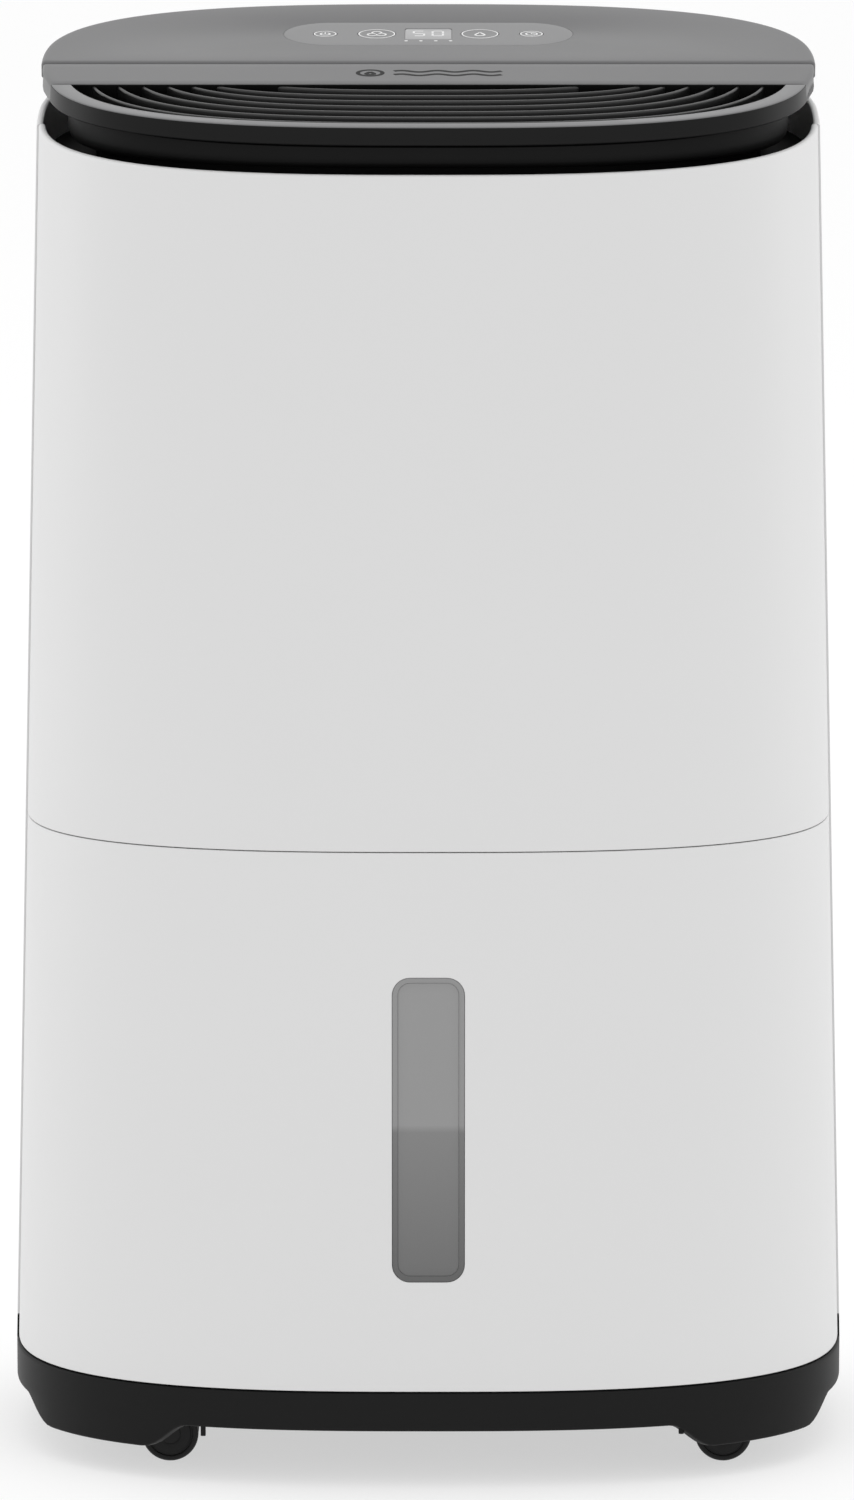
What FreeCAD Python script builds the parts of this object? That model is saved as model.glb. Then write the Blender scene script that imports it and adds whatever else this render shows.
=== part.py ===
import FreeCAD, Part
import math
import os
import re

# A free-standing compressor dehumidifier with a slide-out tank, millimetres, +Z up.
# The origin is on the floor under the middle of the cabinet and the front faces -Y.

os.makedirs("parts", exist_ok=True)
doc = FreeCAD.newDocument("dehumidifier")

# ---------------------------------------------------------------- driving dimensions
SIZES = {
    # cabinet
    "cabinet_width": 370, "cabinet_depth": 248, "bow_radius": 577, "corner_radius": 98.8,
    "draft": 1.37, "wall": 3, "split_y": -18, "seam_gap": 0.7, "fit_gap": 0.3,
    # base and skirts
    "base_bottom": 25.7, "base_top": 42.5, "base_back_top": 52, "skirt_bottom": 14.3,
    "skirt_wall": 4, "skirt_front_low": 126, "skirt_front_high": 108,
    "skirt_side_low": 74, "skirt_side_high": 52, "base_floor": 3,
    # front seam, white rim plane and lid plane
    "front_seam": 282.2, "rim_middle": 590.5, "rim_slope": 7.87,
    "lid_middle": 612.2, "lid_slope": 8.41, "lid_thick": 8.3, "lid_inset": 0.7, "lid_overhang": 5,
    # outlet louvre
    "strip_front": -34, "strip_side_inset": 17, "louvre_side_inset": 18, "louvre_front_inset": 14,
    "louvre_corner_inset": 10.8, "louvre_rim": 7.5, "rib_pitch": 9.5,
    "rib_thick": 1.8, "rib_drop": 1.2, "rib_depth": 3, "rail_width": 8,
    "hinge_gap": 0.5, "louvre_axle_radius": 1.5, "ear_radius": 2.9, "ear_stalk": 4,
    "ear_width": 6, "ear_offset": 110, "ear_clearance": 0.3,
    # top deck, neck and trough
    "neck_side_inset": 27, "neck_front_inset": 16.5, "neck_corner_inset": 18.8,
    "neck_wall": 2.5, "neck_back_inset": 24, "trough_depth": 22, "deck_thick": 2.5, "grip_gap": 0.6,
    # control panel
    "panel_width": 129, "panel_depth": 42.5, "panel_thick": 2, "panel_y": 57.5,
    "large_key_radius": 8.4, "small_key_radius": 5.25, "large_key_x": 23,
    "small_key_x": 46, "key_gap": 0.25, "key_height": 3.4, "display_width": 21,
    "display_depth": 20, "board_depth": 4.4, "board_thick": 1.6,
    # castors
    "wheel_radius": 12.5, "wheel_width": 6.5, "wheel_trail": 8.15, "castor_side_inset": 62.5,
    "castor_end_inset": 54, "castor_axle_radius": 1.5, "castor_web": 3, "castor_stem_radius": 3,
    "castor_recess": 27, "castor_flange_radius": 11, "running_gap": 0.06,
    # tank
    "tank_bottom": 47, "tank_height": 203, "tank_share": 0.8, "tank_side_room": 8, "tank_front_inset": 38,
    "tank_back_y": 20, "tank_wall": 2.5, "tank_lid_thick": 3, "window_width": 31.8,
    "window_bottom": 92, "window_height": 135, "window_glass": 2,
    "handle_y": -37, "handle_arm": 19, "handle_bar_radius": 3, "handle_x": 62,
    "float_side_inset": 25, "float_arm": 46, "float_drop": 24, "float_pin_radius": 1.5,
    # cooling circuit
    "bay_wall_y": 22, "bay_wall_thick": 2.5, "compressor_radius": 40,
    "compressor_x": -50, "compressor_y": 67, "compressor_base": 39,
    "compressor_height": 140, "accumulator_radius": 15, "tray_z": 305,
    "coil_width": 210, "coil_bottom": 325, "coil_height": 195, "evaporator_back_inset": 68,
    "evaporator_depth": 27, "condenser_y": 26, "condenser_depth": 25,
    "coil_tube_radius": 4, "coil_tubes": 8, "pipe_radius": 3.5,
    # fan
    "fan_z": 425, "scroll_radius": 92, "scroll_front": -74, "scroll_back": 14,
    "scroll_wall": 2.5, "scroll_top": 548, "inlet_radius": 56, "impeller_radius": 80, "impeller_depth": 34,
    "impeller_y": -28, "blades": 24, "blade_chord": 12, "shaft_radius": 4,
    "motor_radius": 30, "motor_length": 40,
    # filter, drain and power
    "filter_width": 200, "filter_bottom": 332, "filter_height": 190, "filter_back_inset": 26,
    "slot_height": 9, "slot_pitch": 15, "drain_x": 0, "drain_z": 316,
    "drain_bore": 5, "plug_radius": 11, "inlet_x": 70, "inlet_z": 90,
    "inlet_width": 30, "inlet_height": 24,
    # screws, ribs and rails
    "screw_side_inset": 25, "screw_middle_y": 0, "screw_back_y": 45,
    "rail_half_length": 150, "spoke_pitch": 90, "spoke_thick": 2, "shelf_half_width": 150,
    "tank_rib_x": 100, "tank_rib_thick": 4, "tank_rib_bottom": 60, "tank_rib_top": 240,
    # electrics
    "main_board_x": -158, "main_board_y": -40, "main_board_z": 330, "main_board_width": 58,
    "main_board_height": 190, "capacitor_x": 130, "capacitor_y": -45, "capacitor_radius": 16,
    "capacitor_length": 65, "sensor_x": 143, "sensor_y": 40, "sensor_z": 500,
    "accumulator_gap": 24, "accumulator_bottom": 90, "accumulator_length": 90,
}
# Places and sizes that follow from the driving ones, as formulas in them.
DERIVED = {
    "strip_width": "(cabinet_width - 2 * strip_side_inset)",
    "castor_x": "(cabinet_width / 2 - castor_side_inset)",
    "castor_y": "(cabinet_depth / 2 - castor_end_inset)",
    "tank_width": "(cabinet_width * tank_share - 2 * tank_side_room)",
    "tank_front_y": "(tank_front_inset - cabinet_depth / 2)",
    "float_x": "(cabinet_width * tank_share / 2 - tank_side_room - float_side_inset)",
    "float_pivot_z": "(tank_bottom + tank_height - float_drop)",
    "filter_y": "(cabinet_depth / 2 - filter_back_inset)",
    "evaporator_y": "(cabinet_depth / 2 - evaporator_back_inset)",
}
sheet = doc.addObject("Spreadsheet::Sheet", "dims")
for row, (alias, value) in enumerate(SIZES.items(), start=1):
    sheet.set(f"A{row}", alias)
    sheet.set(f"B{row}", str(value))
    sheet.setAlias(f"B{row}", alias)
doc.recompute()

WORDS = re.compile(r"\b(" + "|".join(sorted(SIZES, key=len, reverse=True)) + r")\b")


DERIVED_WORDS = re.compile(r"\b(" + "|".join(DERIVED) + r")\b")


def written_out(text):
    """Replace derived names by their formulas in driving dimensions."""
    return DERIVED_WORDS.sub(lambda found: DERIVED[found.group(0)], str(text))


def size(alias):
    """Read one driving dimension back from the sheet, or work out a derived one."""
    if alias in SIZES:
        return float(sheet.get(alias))
    scratch = doc.getObject("worked_out") or doc.addObject("App::FeaturePython", "worked_out")
    if alias not in scratch.PropertiesList:
        scratch.addProperty("App::PropertyFloat", alias)
        scratch.setExpression(alias, bound(alias))
        doc.recompute()
    return getattr(scratch, alias)


def bound(text):
    """Turn a formula in driving dimensions into a sheet expression."""
    return WORDS.sub(r"dims.\1", written_out(text))


# ---------------------------------------------------------------- building helpers
nodes = []


def place(item, where, tilt=False, axis="Z"):
    """Bind a position; tilt puts it in the sloping frame of the lid's top plane."""
    x, y, z = [f"({bound(value)})" for value in where]
    if tilt:
        turn = "dims.lid_slope * 1deg"
        y, z = (f"{y} * cos({turn}) - {z} * sin({turn})",
                f"dims.lid_middle + {y} * sin({turn}) + {z} * cos({turn})")
    rotation = {"Z": (0, 0, 1, 0), "X": (0, 1, 0, 90), "Y": (1, 0, 0, -90)}[axis]
    if tilt and axis == "Z":
        rotation = (1, 0, 0, size("lid_slope"))
    turn_axis = FreeCAD.Vector(*rotation[:3])
    item.Placement = FreeCAD.Placement(FreeCAD.Vector(), FreeCAD.Rotation(turn_axis, rotation[3]))
    if tilt and axis == "Z":
        item.setExpression("Placement.Rotation.Angle", "dims.lid_slope")
    item.setExpression("Placement.Base.x", x)
    item.setExpression("Placement.Base.y", y)
    item.setExpression("Placement.Base.z", z)


def box(where, spans, tilt=False):
    item = doc.addObject("Part::Box", "box")
    for name, span in zip(("Length", "Width", "Height"), spans):
        item.setExpression(name, bound(span))
    place(item, where, tilt)
    return item


def cylinder(where, radius, length, axis="Z", tilt=False):
    item = doc.addObject("Part::Cylinder", "cylinder")
    item.setExpression("Radius", bound(radius))
    item.setExpression("Height", bound(length))
    place(item, where, tilt, axis)
    return item


def sphere(where, radius):
    item = doc.addObject("Part::Sphere", "sphere")
    item.setExpression("Radius", bound(radius))
    place(item, where)
    return item


def fuse(*items):
    item = doc.addObject("Part::MultiFuse", "fusion")
    item.Shapes = list(items)
    return item


def common(first, second):
    item = doc.addObject("Part::Common", "overlap")
    item.Base = first
    item.Tool = second
    return item


def cut(base, *tools):
    item = doc.addObject("Part::Cut", "difference")
    item.Base = base
    item.Tool = tools[0] if len(tools) == 1 else fuse(*tools)
    return item


def group(*items):
    """Separate solids that share one node."""
    item = doc.addObject("Part::Compound", "group")
    item.Links = list(items)
    return item


def node(label, item):
    item.Label = label
    nodes.append(item)
    return item


def feature(shape):
    item = doc.addObject("Part::Feature", "form")
    item.Shape = shape
    return item


# ---------------------------------------------------------------- bowed outlines
def outline(half_width, half_depth, bow, corner, z):
    """Bowed front and back, straight sides and tangent corner arcs, as one closed wire."""
    reach = half_width - corner
    step = math.sqrt((bow - corner) ** 2 - reach ** 2) - (bow - half_depth)
    lean = FreeCAD.Vector(reach, step + bow - half_depth, 0) * (1 / (bow - corner))
    meet = FreeCAD.Vector(reach, step, 0) + lean * corner
    middle = math.atan2(lean.y, lean.x) / 2
    knee = FreeCAD.Vector(reach + corner * math.cos(middle), step + corner * math.sin(middle), 0)

    def at(x, y):
        return FreeCAD.Vector(x, y, z)

    edges = [
        Part.Arc(at(-meet.x, -meet.y), at(0, -half_depth), at(meet.x, -meet.y)).toShape(),
        Part.Arc(at(meet.x, -meet.y), at(knee.x, -knee.y), at(half_width, -step)).toShape(),
        Part.makeLine(at(half_width, -step), at(half_width, step)),
        Part.Arc(at(half_width, step), at(knee.x, knee.y), at(meet.x, meet.y)).toShape(),
        Part.Arc(at(meet.x, meet.y), at(0, half_depth), at(-meet.x, meet.y)).toShape(),
        Part.Arc(at(-meet.x, meet.y), at(-knee.x, knee.y), at(-half_width, step)).toShape(),
        Part.makeLine(at(-half_width, step), at(-half_width, -step)),
        Part.Arc(at(-half_width, -step), at(-knee.x, -knee.y), at(-meet.x, -meet.y)).toShape(),
    ]
    return Part.Wire(edges)


def block(low, high, inset, form=None, lean=True):
    """A solid between two heights; its walls lean in by the draft from the base's top edge."""
    if form is None:
        form = (size("cabinet_width") / 2, size("cabinet_depth") / 2,
                size("bow_radius"), size("corner_radius"))
    rise = math.tan(math.radians(size("draft"))) if lean else 0
    wires = []
    for z in (low, high):
        shift = inset + rise * (z - size("base_top")) if lean else inset
        wires.append(outline(*[value - shift for value in form], z))
    return Part.makeLoft(wires, True, True)


def above(middle, slope, offset=0):
    """Everything above a plane that rises to the back; offset is measured square to it."""
    span = 1200
    slab = Part.makeBox(span, span, span, FreeCAD.Vector(-span / 2, -span / 2, offset))
    slab.rotate(FreeCAD.Vector(), FreeCAD.Vector(1, 0, 0), slope)
    slab.translate(FreeCAD.Vector(0, 0, middle))
    return slab


def region(x_low, x_high, y_low, y_high, z_low, z_high):
    return Part.makeBox(x_high - x_low, y_high - y_low, z_high - z_low,
                        FreeCAD.Vector(x_low, y_low, z_low))


def ring(low, high, inset, wall, form=None, lean=True):
    """A wall that follows the outline, open at the top and bottom."""
    outer = block(low, high, inset, form, lean)
    inner = block(low - 1, high + 1, inset + wall, form, lean)
    return outer.cut(inner)


FAR = 900
wall = size("wall")
gap = size("fit_gap")
split = size("split_y")
base_top = size("base_top")
seam = size("front_seam")
back_of_split = region(-FAR, FAR, split, FAR, 0, FAR)
front_of_split = region(-FAR, FAR, -FAR, split - size("seam_gap"), 0, FAR)
above_rim = above(size("rim_middle"), size("rim_slope"))
above_lid = above(size("lid_middle"), size("lid_slope"))
below_lid = above(size("lid_middle"), size("lid_slope"), -size("lid_thick"))

# ---------------------------------------------------------------- base tray and skirts
base_bottom = size("base_bottom")
skirt_bottom = size("skirt_bottom")


def ramp_prism(low, high, along_x):
    """The gap between two skirts, wider at the bottom, as a prism right through the base."""
    points = [(-low, skirt_bottom - 1), (low, skirt_bottom - 1), (high, base_bottom), (-high, base_bottom)]
    if along_x:
        corners = [FreeCAD.Vector(-FAR, a, z) for a, z in points]
        direction = FreeCAD.Vector(2 * FAR, 0, 0)
    else:
        corners = [FreeCAD.Vector(a, -FAR, z) for a, z in points]
        direction = FreeCAD.Vector(0, 2 * FAR, 0)
    return Part.Face(Part.makePolygon(corners + corners[:1])).extrude(direction)


base = block(base_bottom, base_top, 0, lean=False)
base = base.cut(block(base_bottom + size("base_floor"), base_top + 1, wall, lean=False))
lip = ring(base_top, size("base_back_top"), wall + gap, wall).common(back_of_split)
ledge = ring(base_top - wall, base_top, wall - 1, wall + 2, lean=False)
skirt = ring(skirt_bottom, base_bottom, 0, size("skirt_wall"), lean=False)
skirt = skirt.cut(ramp_prism(size("skirt_front_low"), size("skirt_front_high"), False))
skirt = skirt.cut(ramp_prism(size("skirt_side_low"), size("skirt_side_high"), True))
base_form = feature(base.fuse([lip, ledge, skirt]).removeSplitter())

CASTORS = {"front_left": (-1, -1), "front_right": (1, -1), "rear_left": (-1, 1), "rear_right": (1, 1)}
bosses = []
recesses = []
for side, end in CASTORS.values():
    spot = (f"{side} * castor_x", f"{end} * castor_y")
    bosses.append(cylinder((*spot, "base_bottom"), "castor_recess + 3", "9"))
    bosses.append(cylinder((*spot, "base_bottom + 8"), "castor_stem_radius + 4", "8"))
    recesses.append(cylinder((*spot, "base_bottom - 1"), "castor_recess", "7"))
    recesses.append(cylinder((*spot, "base_bottom"), "castor_stem_radius + running_gap", "30"))
SCREW_SPOTS = [(side * (size("cabinet_width") / 2 - size("screw_side_inset")), size(y))
               for side in (-1, 1) for y in ("screw_middle_y", "screw_back_y")]
screw_holes = [cylinder((x, y, "base_bottom - 1"), "2.2", "10") for x, y in SCREW_SPOTS]
node("base_tray", cut(fuse(base_form, *bosses), *recesses, *screw_holes))

# ---------------------------------------------------------------- castors
for name, (side, end) in CASTORS.items():
    x = f"{side} * castor_x"
    y = f"{end} * castor_y"
    hub_x = f"{side} * castor_x + wheel_trail"
    stem = cylinder((x, y, "base_bottom"), "castor_stem_radius", "15")
    flange = cylinder((x, y, "wheel_radius * 2 + 0.6"), "castor_flange_radius", "3.5")
    web = box((f"{x} - 5", f"{y} - castor_web / 2", "wheel_radius - 5"),
              ("wheel_trail + 10", "castor_web", "wheel_radius + 8"))
    bore = cylinder((hub_x, f"{y} - 20", "wheel_radius"), "castor_axle_radius", "40", "Y")
    node(f"castor_fork_{name}", cut(fuse(stem, flange, web), bore))
    reach = "(castor_web / 2 + 0.4)"
    wheels = []
    for start in (f"{y} - {reach} - wheel_width", f"{y} + {reach}"):
        disc = cylinder((hub_x, start, "wheel_radius"), "wheel_radius", "wheel_width", "Y")
        hole = cylinder((hub_x, f"{start} - 1", "wheel_radius"), "castor_axle_radius + running_gap",
                        "wheel_width + 2", "Y")
        wheels.append(cut(disc, hole))
    node(f"castor_wheels_{name}", group(*wheels))
    node(f"castor_axle_{name}", cylinder(
        (hub_x, f"{y} - {reach} - wheel_width + 0.6", "wheel_radius"), "castor_axle_radius",
        f"2 * ({reach} + wheel_width - 0.6)", "Y"))

# ---------------------------------------------------------------- outer shells
filter_low = size("filter_bottom") - gap
filter_high = size("filter_bottom") + size("filter_height") + gap
filter_half = size("filter_width") / 2 + gap
rear = ring(base_top + gap, FAR * 0.75, 0, wall).common(back_of_split).cut(above_rim)
rear = rear.cut(region(-filter_half, filter_half, 0, FAR, filter_low, filter_high))
filter_sleeve = region(-filter_half - wall, filter_half + wall, size("filter_y") - 4, FAR,
                       filter_low - wall, filter_high + wall)
filter_sleeve = filter_sleeve.cut(region(-filter_half, filter_half, 0, FAR, filter_low, filter_high))
sleeve_body = filter_sleeve.common(block(base_top, FAR * 0.75, wall - 1))
screw_pads = []
for x, y in SCREW_SPOTS:
    reach = size("cabinet_width") / 2
    pad = region(min(x - 6, math.copysign(reach, x)), max(x + 6, math.copysign(reach, x)),
                 y - 6, y + 6, size("base_back_top") + 1, size("base_back_top") + 28)
    screw_pads.append(pad.common(block(base_top, FAR * 0.75, wall - 1)))
rear = feature(rear.fuse([sleeve_body] + screw_pads).removeSplitter())
rear_holes = [
    cylinder(("drain_x", "cabinet_depth / 2 - 40", "drain_z"), "plug_radius + fit_gap", "60", "Y"),
    box(("inlet_x - inlet_width / 2 - 0.1", "cabinet_depth / 2 - 40", "inlet_z - inlet_height / 2 - 0.1"),
        ("inlet_width + 0.2", "60", "inlet_height + 0.2")),
]
for x, y in SCREW_SPOTS:
    rear_holes.append(cylinder((x, y, "base_back_top"), "1.7", "20"))
node("rear_housing", cut(rear, *rear_holes))

front = ring(seam, FAR * 0.75, 0, wall).common(front_of_split).cut(above_rim)
front_shelf = block(seam, seam + wall, wall - 1).common(front_of_split)
front_shelf = front_shelf.cut(region(-size("shelf_half_width"), size("shelf_half_width"),
                                     size("tank_front_y") - 4, FAR, 0, FAR))
node("front_housing", feature(front.fuse(front_shelf).removeSplitter()))

# ---------------------------------------------------------------- top deck with neck


def inner_form(piece):
    """The cabinet's outline drawn in at the sides, front and corners, for a piece inside it."""
    side, front, corner = [size(f"{piece}_{end}_inset") for end in ("side", "front", "corner")]
    return (size("cabinet_width") / 2 - side, size("cabinet_depth") / 2 - front,
            size("bow_radius") - front, size("corner_radius") - corner)


NECK = inner_form("neck")
deck_top = above(size("rim_middle"), size("rim_slope"), -size("trough_depth"))
deck_bottom = above(size("rim_middle"), size("rim_slope"), -size("trough_depth") - size("deck_thick"))
floor_sheet = block(500, 620, wall + gap).cut(deck_top).common(deck_bottom)
neck_outer = block(500, FAR * 0.75, 0, NECK, lean=False)
neck_inner = block(490, FAR * 0.75 + 1, size("neck_wall"), NECK, lean=False)
duct = neck_inner.common(region(-FAR, FAR, -FAR, -6, 0, FAR))
lid_under = above(size("lid_middle"), size("lid_slope"), -size("lid_thick") - 0.02)
louvre_under = above(size("lid_middle"), size("lid_slope"),
                     -size("lid_thick") - size("rib_depth") - size("grip_gap"))
neck_front = neck_outer.common(region(-FAR, FAR, -FAR, -6, 0, FAR)).cut(louvre_under)
rim_lip = neck_outer.cut(neck_inner).common(region(-FAR, FAR, -FAR, size("strip_front") - 14, 0, FAR))
rim_lip = rim_lip.cut(above(size("lid_middle"), size("lid_slope"), -size("lid_thick") - size("grip_gap")))
neck_back_y = size("cabinet_depth") / 2 - size("neck_back_inset")
neck_back = neck_outer.common(region(-FAR, FAR, -6, neck_back_y, 0, FAR)).cut(lid_under)
back_hollow = block(480, FAR * 0.75, size("neck_wall"), NECK, lean=False).common(
    region(-FAR, FAR, -6 + size("neck_wall"), neck_back_y - size("neck_wall"), 0, FAR))
neck_back = neck_back.cut(back_hollow.cut(above(size("lid_middle"), size("lid_slope"),
                                                -size("lid_thick") - 0.02 - size("neck_wall"))))
deck = neck_front.fuse([rim_lip, neck_back]).common(deck_bottom).fuse(floor_sheet).cut(duct)
deck = deck.cut(region(-70, 70, 30, 85, 0, FAR).common(deck_top))
deck_form = feature(deck.removeSplitter())
clear_under_strip = box(("-strip_width / 2", "strip_front - 8", "-lid_thick - rib_depth - grip_gap"),
                        ("strip_width", "-strip_front + 8 + lid_thick / 2 + hinge_gap + 0.2", "60"), tilt=True)
ears = []
ear_bores = []
axis_z = "-lid_thick / 2"
for side in (-1, 1):
    start = f"{side} * ear_offset - ear_width / 2"
    ears.append(cylinder((start, "0", axis_z), "ear_radius", "ear_width", "X", tilt=True))
    ears.append(box((start, "-ear_stalk / 2", "-24"), ("ear_width", "ear_stalk", "24 - lid_thick / 2"), tilt=True))
    ears.append(box((start, "-14", "-24"), ("ear_width", "16", "24 - lid_thick - rib_depth - 3"), tilt=True))
ear_bores.append(cylinder(("-strip_width / 2", "0", axis_z), "louvre_axle_radius + running_gap",
                          "strip_width", "X", tilt=True))
node("top_deck", cut(fuse(cut(deck_form, clear_under_strip), *ears), *ear_bores))

# ---------------------------------------------------------------- lid and controls
lid_front = size("lid_thick") / 2 + size("hinge_gap")
lid_slab = block(500, FAR * 0.75, size("lid_inset"))
lid_slab.translate(FreeCAD.Vector(0, size("lid_overhang"), 0))
lid_slab = lid_slab.common(below_lid).cut(above_lid)
behind_groove = region(-FAR, FAR, lid_front, FAR, -FAR, FAR)
behind_groove.rotate(FreeCAD.Vector(), FreeCAD.Vector(1, 0, 0), size("lid_slope"))
behind_groove.translate(FreeCAD.Vector(0, 0, size("lid_middle")))
lid_slab = lid_slab.common(behind_groove)
lid_form = feature(lid_slab)


def lozenge(width, depth, low, height):
    """A long pill shape in the lid's plane: a bar with round ends."""
    bar = box((f"-({width}) / 2 + ({depth}) / 2", f"panel_y - ({depth}) / 2", low),
              (f"({width}) - ({depth})", depth, height), tilt=True)
    ends = [cylinder((f"{side} * (({width}) / 2 - ({depth}) / 2)", "panel_y", low),
                     f"({depth}) / 2", height, tilt=True) for side in (-1, 1)]
    return fuse(bar, *ends)


panel_seat = lozenge("panel_width", "panel_depth", "-panel_thick", "20")
board_bay = lozenge("panel_width - 8", "panel_depth - 8", "-lid_thick - 1", "lid_thick")
node("lid", cut(lid_form, panel_seat, board_bay))
KEYS = {"key_power": ("-small_key_x", "small_key_radius"), "key_fan": ("-large_key_x", "large_key_radius"),
        "key_humidity": ("large_key_x", "large_key_radius"), "key_timer": ("small_key_x", "small_key_radius")}
panel_holes = [box(("-display_width / 2", "panel_y - display_depth / 2", "-10"),
                   ("display_width", "display_depth", "20"), tilt=True)]
for name, (x, radius) in KEYS.items():
    panel_holes.append(cylinder((x, "panel_y", "-10"), f"{radius} + key_gap", "20", tilt=True))
node("control_panel", cut(lozenge("panel_width - 0.2", "panel_depth - 0.2", "-panel_thick", "panel_thick"),
                          *panel_holes))
for name, (x, radius) in KEYS.items():
    node(name, cylinder((x, "panel_y", "-key_height"), radius, "key_height", tilt=True))
node("display_module", box(("-display_width / 2 + 0.1", "panel_y - display_depth / 2 + 0.1", "-board_depth"),
                           ("display_width - 0.2", "display_depth - 0.2", "board_depth - 0.1"), tilt=True))
node("display_board", lozenge("panel_width - 9", "panel_depth - 9", "-board_depth - board_thick", "board_thick"))

# ---------------------------------------------------------------- louvre: strip, ribbed frame, axle
strip = box(("-strip_width / 2", "strip_front", "-lid_thick"),
            ("strip_width", "-strip_front", "lid_thick"), tilt=True)
nose = cylinder(("-strip_width / 2", "0", axis_z), "lid_thick / 2", "strip_width", "X", tilt=True)
strip_cuts = [cylinder(("-strip_width / 2 + 12", "0", axis_z), "louvre_axle_radius", "strip_width - 24", "X", tilt=True)]
for side in (-1, 1):
    start = f"{side} * ear_offset - ear_width / 2 - 0.5"
    room = "ear_radius + ear_clearance"
    strip_cuts.append(cylinder((start, "0", axis_z), room, "ear_width + 1", "X", tilt=True))
    strip_cuts.append(box((start, f"-({room})", "-lid_thick - 1"),
                          ("ear_width + 1", f"{room} + lid_thick", "lid_thick / 2 + 1.3"), tilt=True))
trim = feature(block(500, FAR * 0.75, size("lid_inset")))
node("louvre_cap", common(cut(fuse(strip, nose), *strip_cuts), trim))
node("louvre_axle", cylinder(("-strip_width / 2 + 12", "0", axis_z), "louvre_axle_radius",
                             "strip_width - 24", "X", tilt=True))

LOUVRE = inner_form("louvre")
strip_front = size("strip_front")
front_field = region(-FAR, FAR, -FAR, strip_front, 0, FAR)
under_field = region(-FAR, FAR, -FAR, strip_front + size("rail_width"), 0, FAR)
rib_floor = above(size("lid_middle"), size("lid_slope"), -size("lid_thick") - size("rib_depth"))
rib_roof = above(size("lid_middle"), size("lid_slope"), -size("rib_drop"))
below_lid_only = region(-FAR / 2, FAR / 2, -FAR / 2, FAR / 2, 500, FAR).cut(below_lid)
rim_ring = block(500, FAR * 0.75, 0, LOUVRE, lean=False).cut(
    block(490, FAR * 0.75 + 1, size("louvre_rim"), LOUVRE, lean=False))
rim_ring = rim_ring.common(front_field).common(below_lid).cut(above_lid)
ribs = []
inset = size("louvre_rim")
while inset < LOUVRE[1] + strip_front - size("rib_pitch"):
    inset += size("rib_pitch")
    rib = block(500, FAR * 0.75, inset - size("rib_thick"), LOUVRE, lean=False).cut(
        block(490, FAR * 0.75 + 1, inset, LOUVRE, lean=False))
    ribs.append(rib)
skin_band = ring(500, FAR * 0.75, size("louvre_rim") - size("rib_thick"), size("rib_thick"), LOUVRE, lean=False)
ribs.append(skin_band)
rib_set = ribs[0].fuse(ribs[1:])
rib_set = rib_set.common(under_field).common(rib_floor).cut(rib_roof)
rib_set = rib_set.cut(region(-FAR, FAR, strip_front, FAR, 0, FAR).common(below_lid))
inside_neck = block(500, FAR * 0.75, size("neck_wall") + 1, NECK, lean=False)
outside_neck = below_lid_only.cut(inside_neck)
rib_set = rib_set.cut(outside_neck)
rail_half = size("rail_half_length")
rail = region(-rail_half, rail_half, strip_front - 1, strip_front + size("rail_width"), 500, FAR)
rail = rail.common(rib_floor).cut(below_lid)
spoke_half = size("spoke_thick") / 2
spokes = [region(x - spoke_half, x + spoke_half, 3 - LOUVRE[1], strip_front, 500, FAR)
          for x in (-size("spoke_pitch"), 0, size("spoke_pitch"))]
spoke_set = spokes[0].fuse(spokes[1:]).common(rib_floor).cut(
    above(size("lid_middle"), size("lid_slope"), -size("lid_thick") + 2))
inside_louvre = block(500, FAR * 0.75, size("louvre_rim") - 1, LOUVRE, lean=False)
louvre = rim_ring.fuse([rib_set, rail, spoke_set.common(inside_louvre).cut(outside_neck)])
node("louvre_frame", feature(louvre.removeSplitter()))

# ---------------------------------------------------------------- tank
tank_front = ring(base_top + size("seam_gap"), seam - size("seam_gap"), 0, wall).common(front_of_split)
tank_front = tank_front.cut(region(-size("window_width") / 2, size("window_width") / 2, -FAR, 0,
                                   size("window_bottom"), size("window_bottom") + size("window_height")))
rib_low, rib_high = [size("tank_rib_x") + side * size("tank_rib_thick") / 2 for side in (-1, 1)]
rib_span = (-FAR, size("tank_front_y"), size("tank_rib_bottom"), size("tank_rib_top"))
tank_ribs = region(-rib_high, -rib_low, *rib_span).fuse(region(rib_low, rib_high, *rib_span))
tank_ribs = tank_ribs.common(block(base_top, seam, 1))
node("tank_front", feature(tank_front.fuse(tank_ribs)))
window = ring(base_top, seam, 1.2, size("window_glass")).common(
    region(-size("window_width") / 2 + 0.1, size("window_width") / 2 - 0.1, -FAR, 0,
           size("window_bottom") + 0.1, size("window_bottom") + size("window_height") - 0.1))
node("tank_window", feature(window))
tub_spot = ("-tank_width / 2", "tank_front_y", "tank_bottom")
tub_spans = ("tank_width", "tank_back_y - tank_front_y", "tank_height")
tub_inside = box(("-tank_width / 2 + tank_wall", "tank_front_y + tank_wall", "tank_bottom + tank_wall"),
                 ("tank_width - 2 * tank_wall", "tank_back_y - tank_front_y - 2 * tank_wall", "tank_height"))
node("tank_tub", cut(box(tub_spot, tub_spans), tub_inside))
lid_z = "tank_bottom + tank_height"
tank_plate = box(("-tank_width / 2 + 1", "tank_front_y + 1", lid_z),
                 ("tank_width - 2", "tank_back_y - tank_front_y - 2", "tank_lid_thick"))
tank_plug = box(("-tank_width / 2 + tank_wall + 0.5", "tank_front_y + tank_wall + 0.5", f"{lid_z} - 4"),
                ("tank_width - 2 * tank_wall - 1", "tank_back_y - tank_front_y - 2 * tank_wall - 1", "4"))
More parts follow.
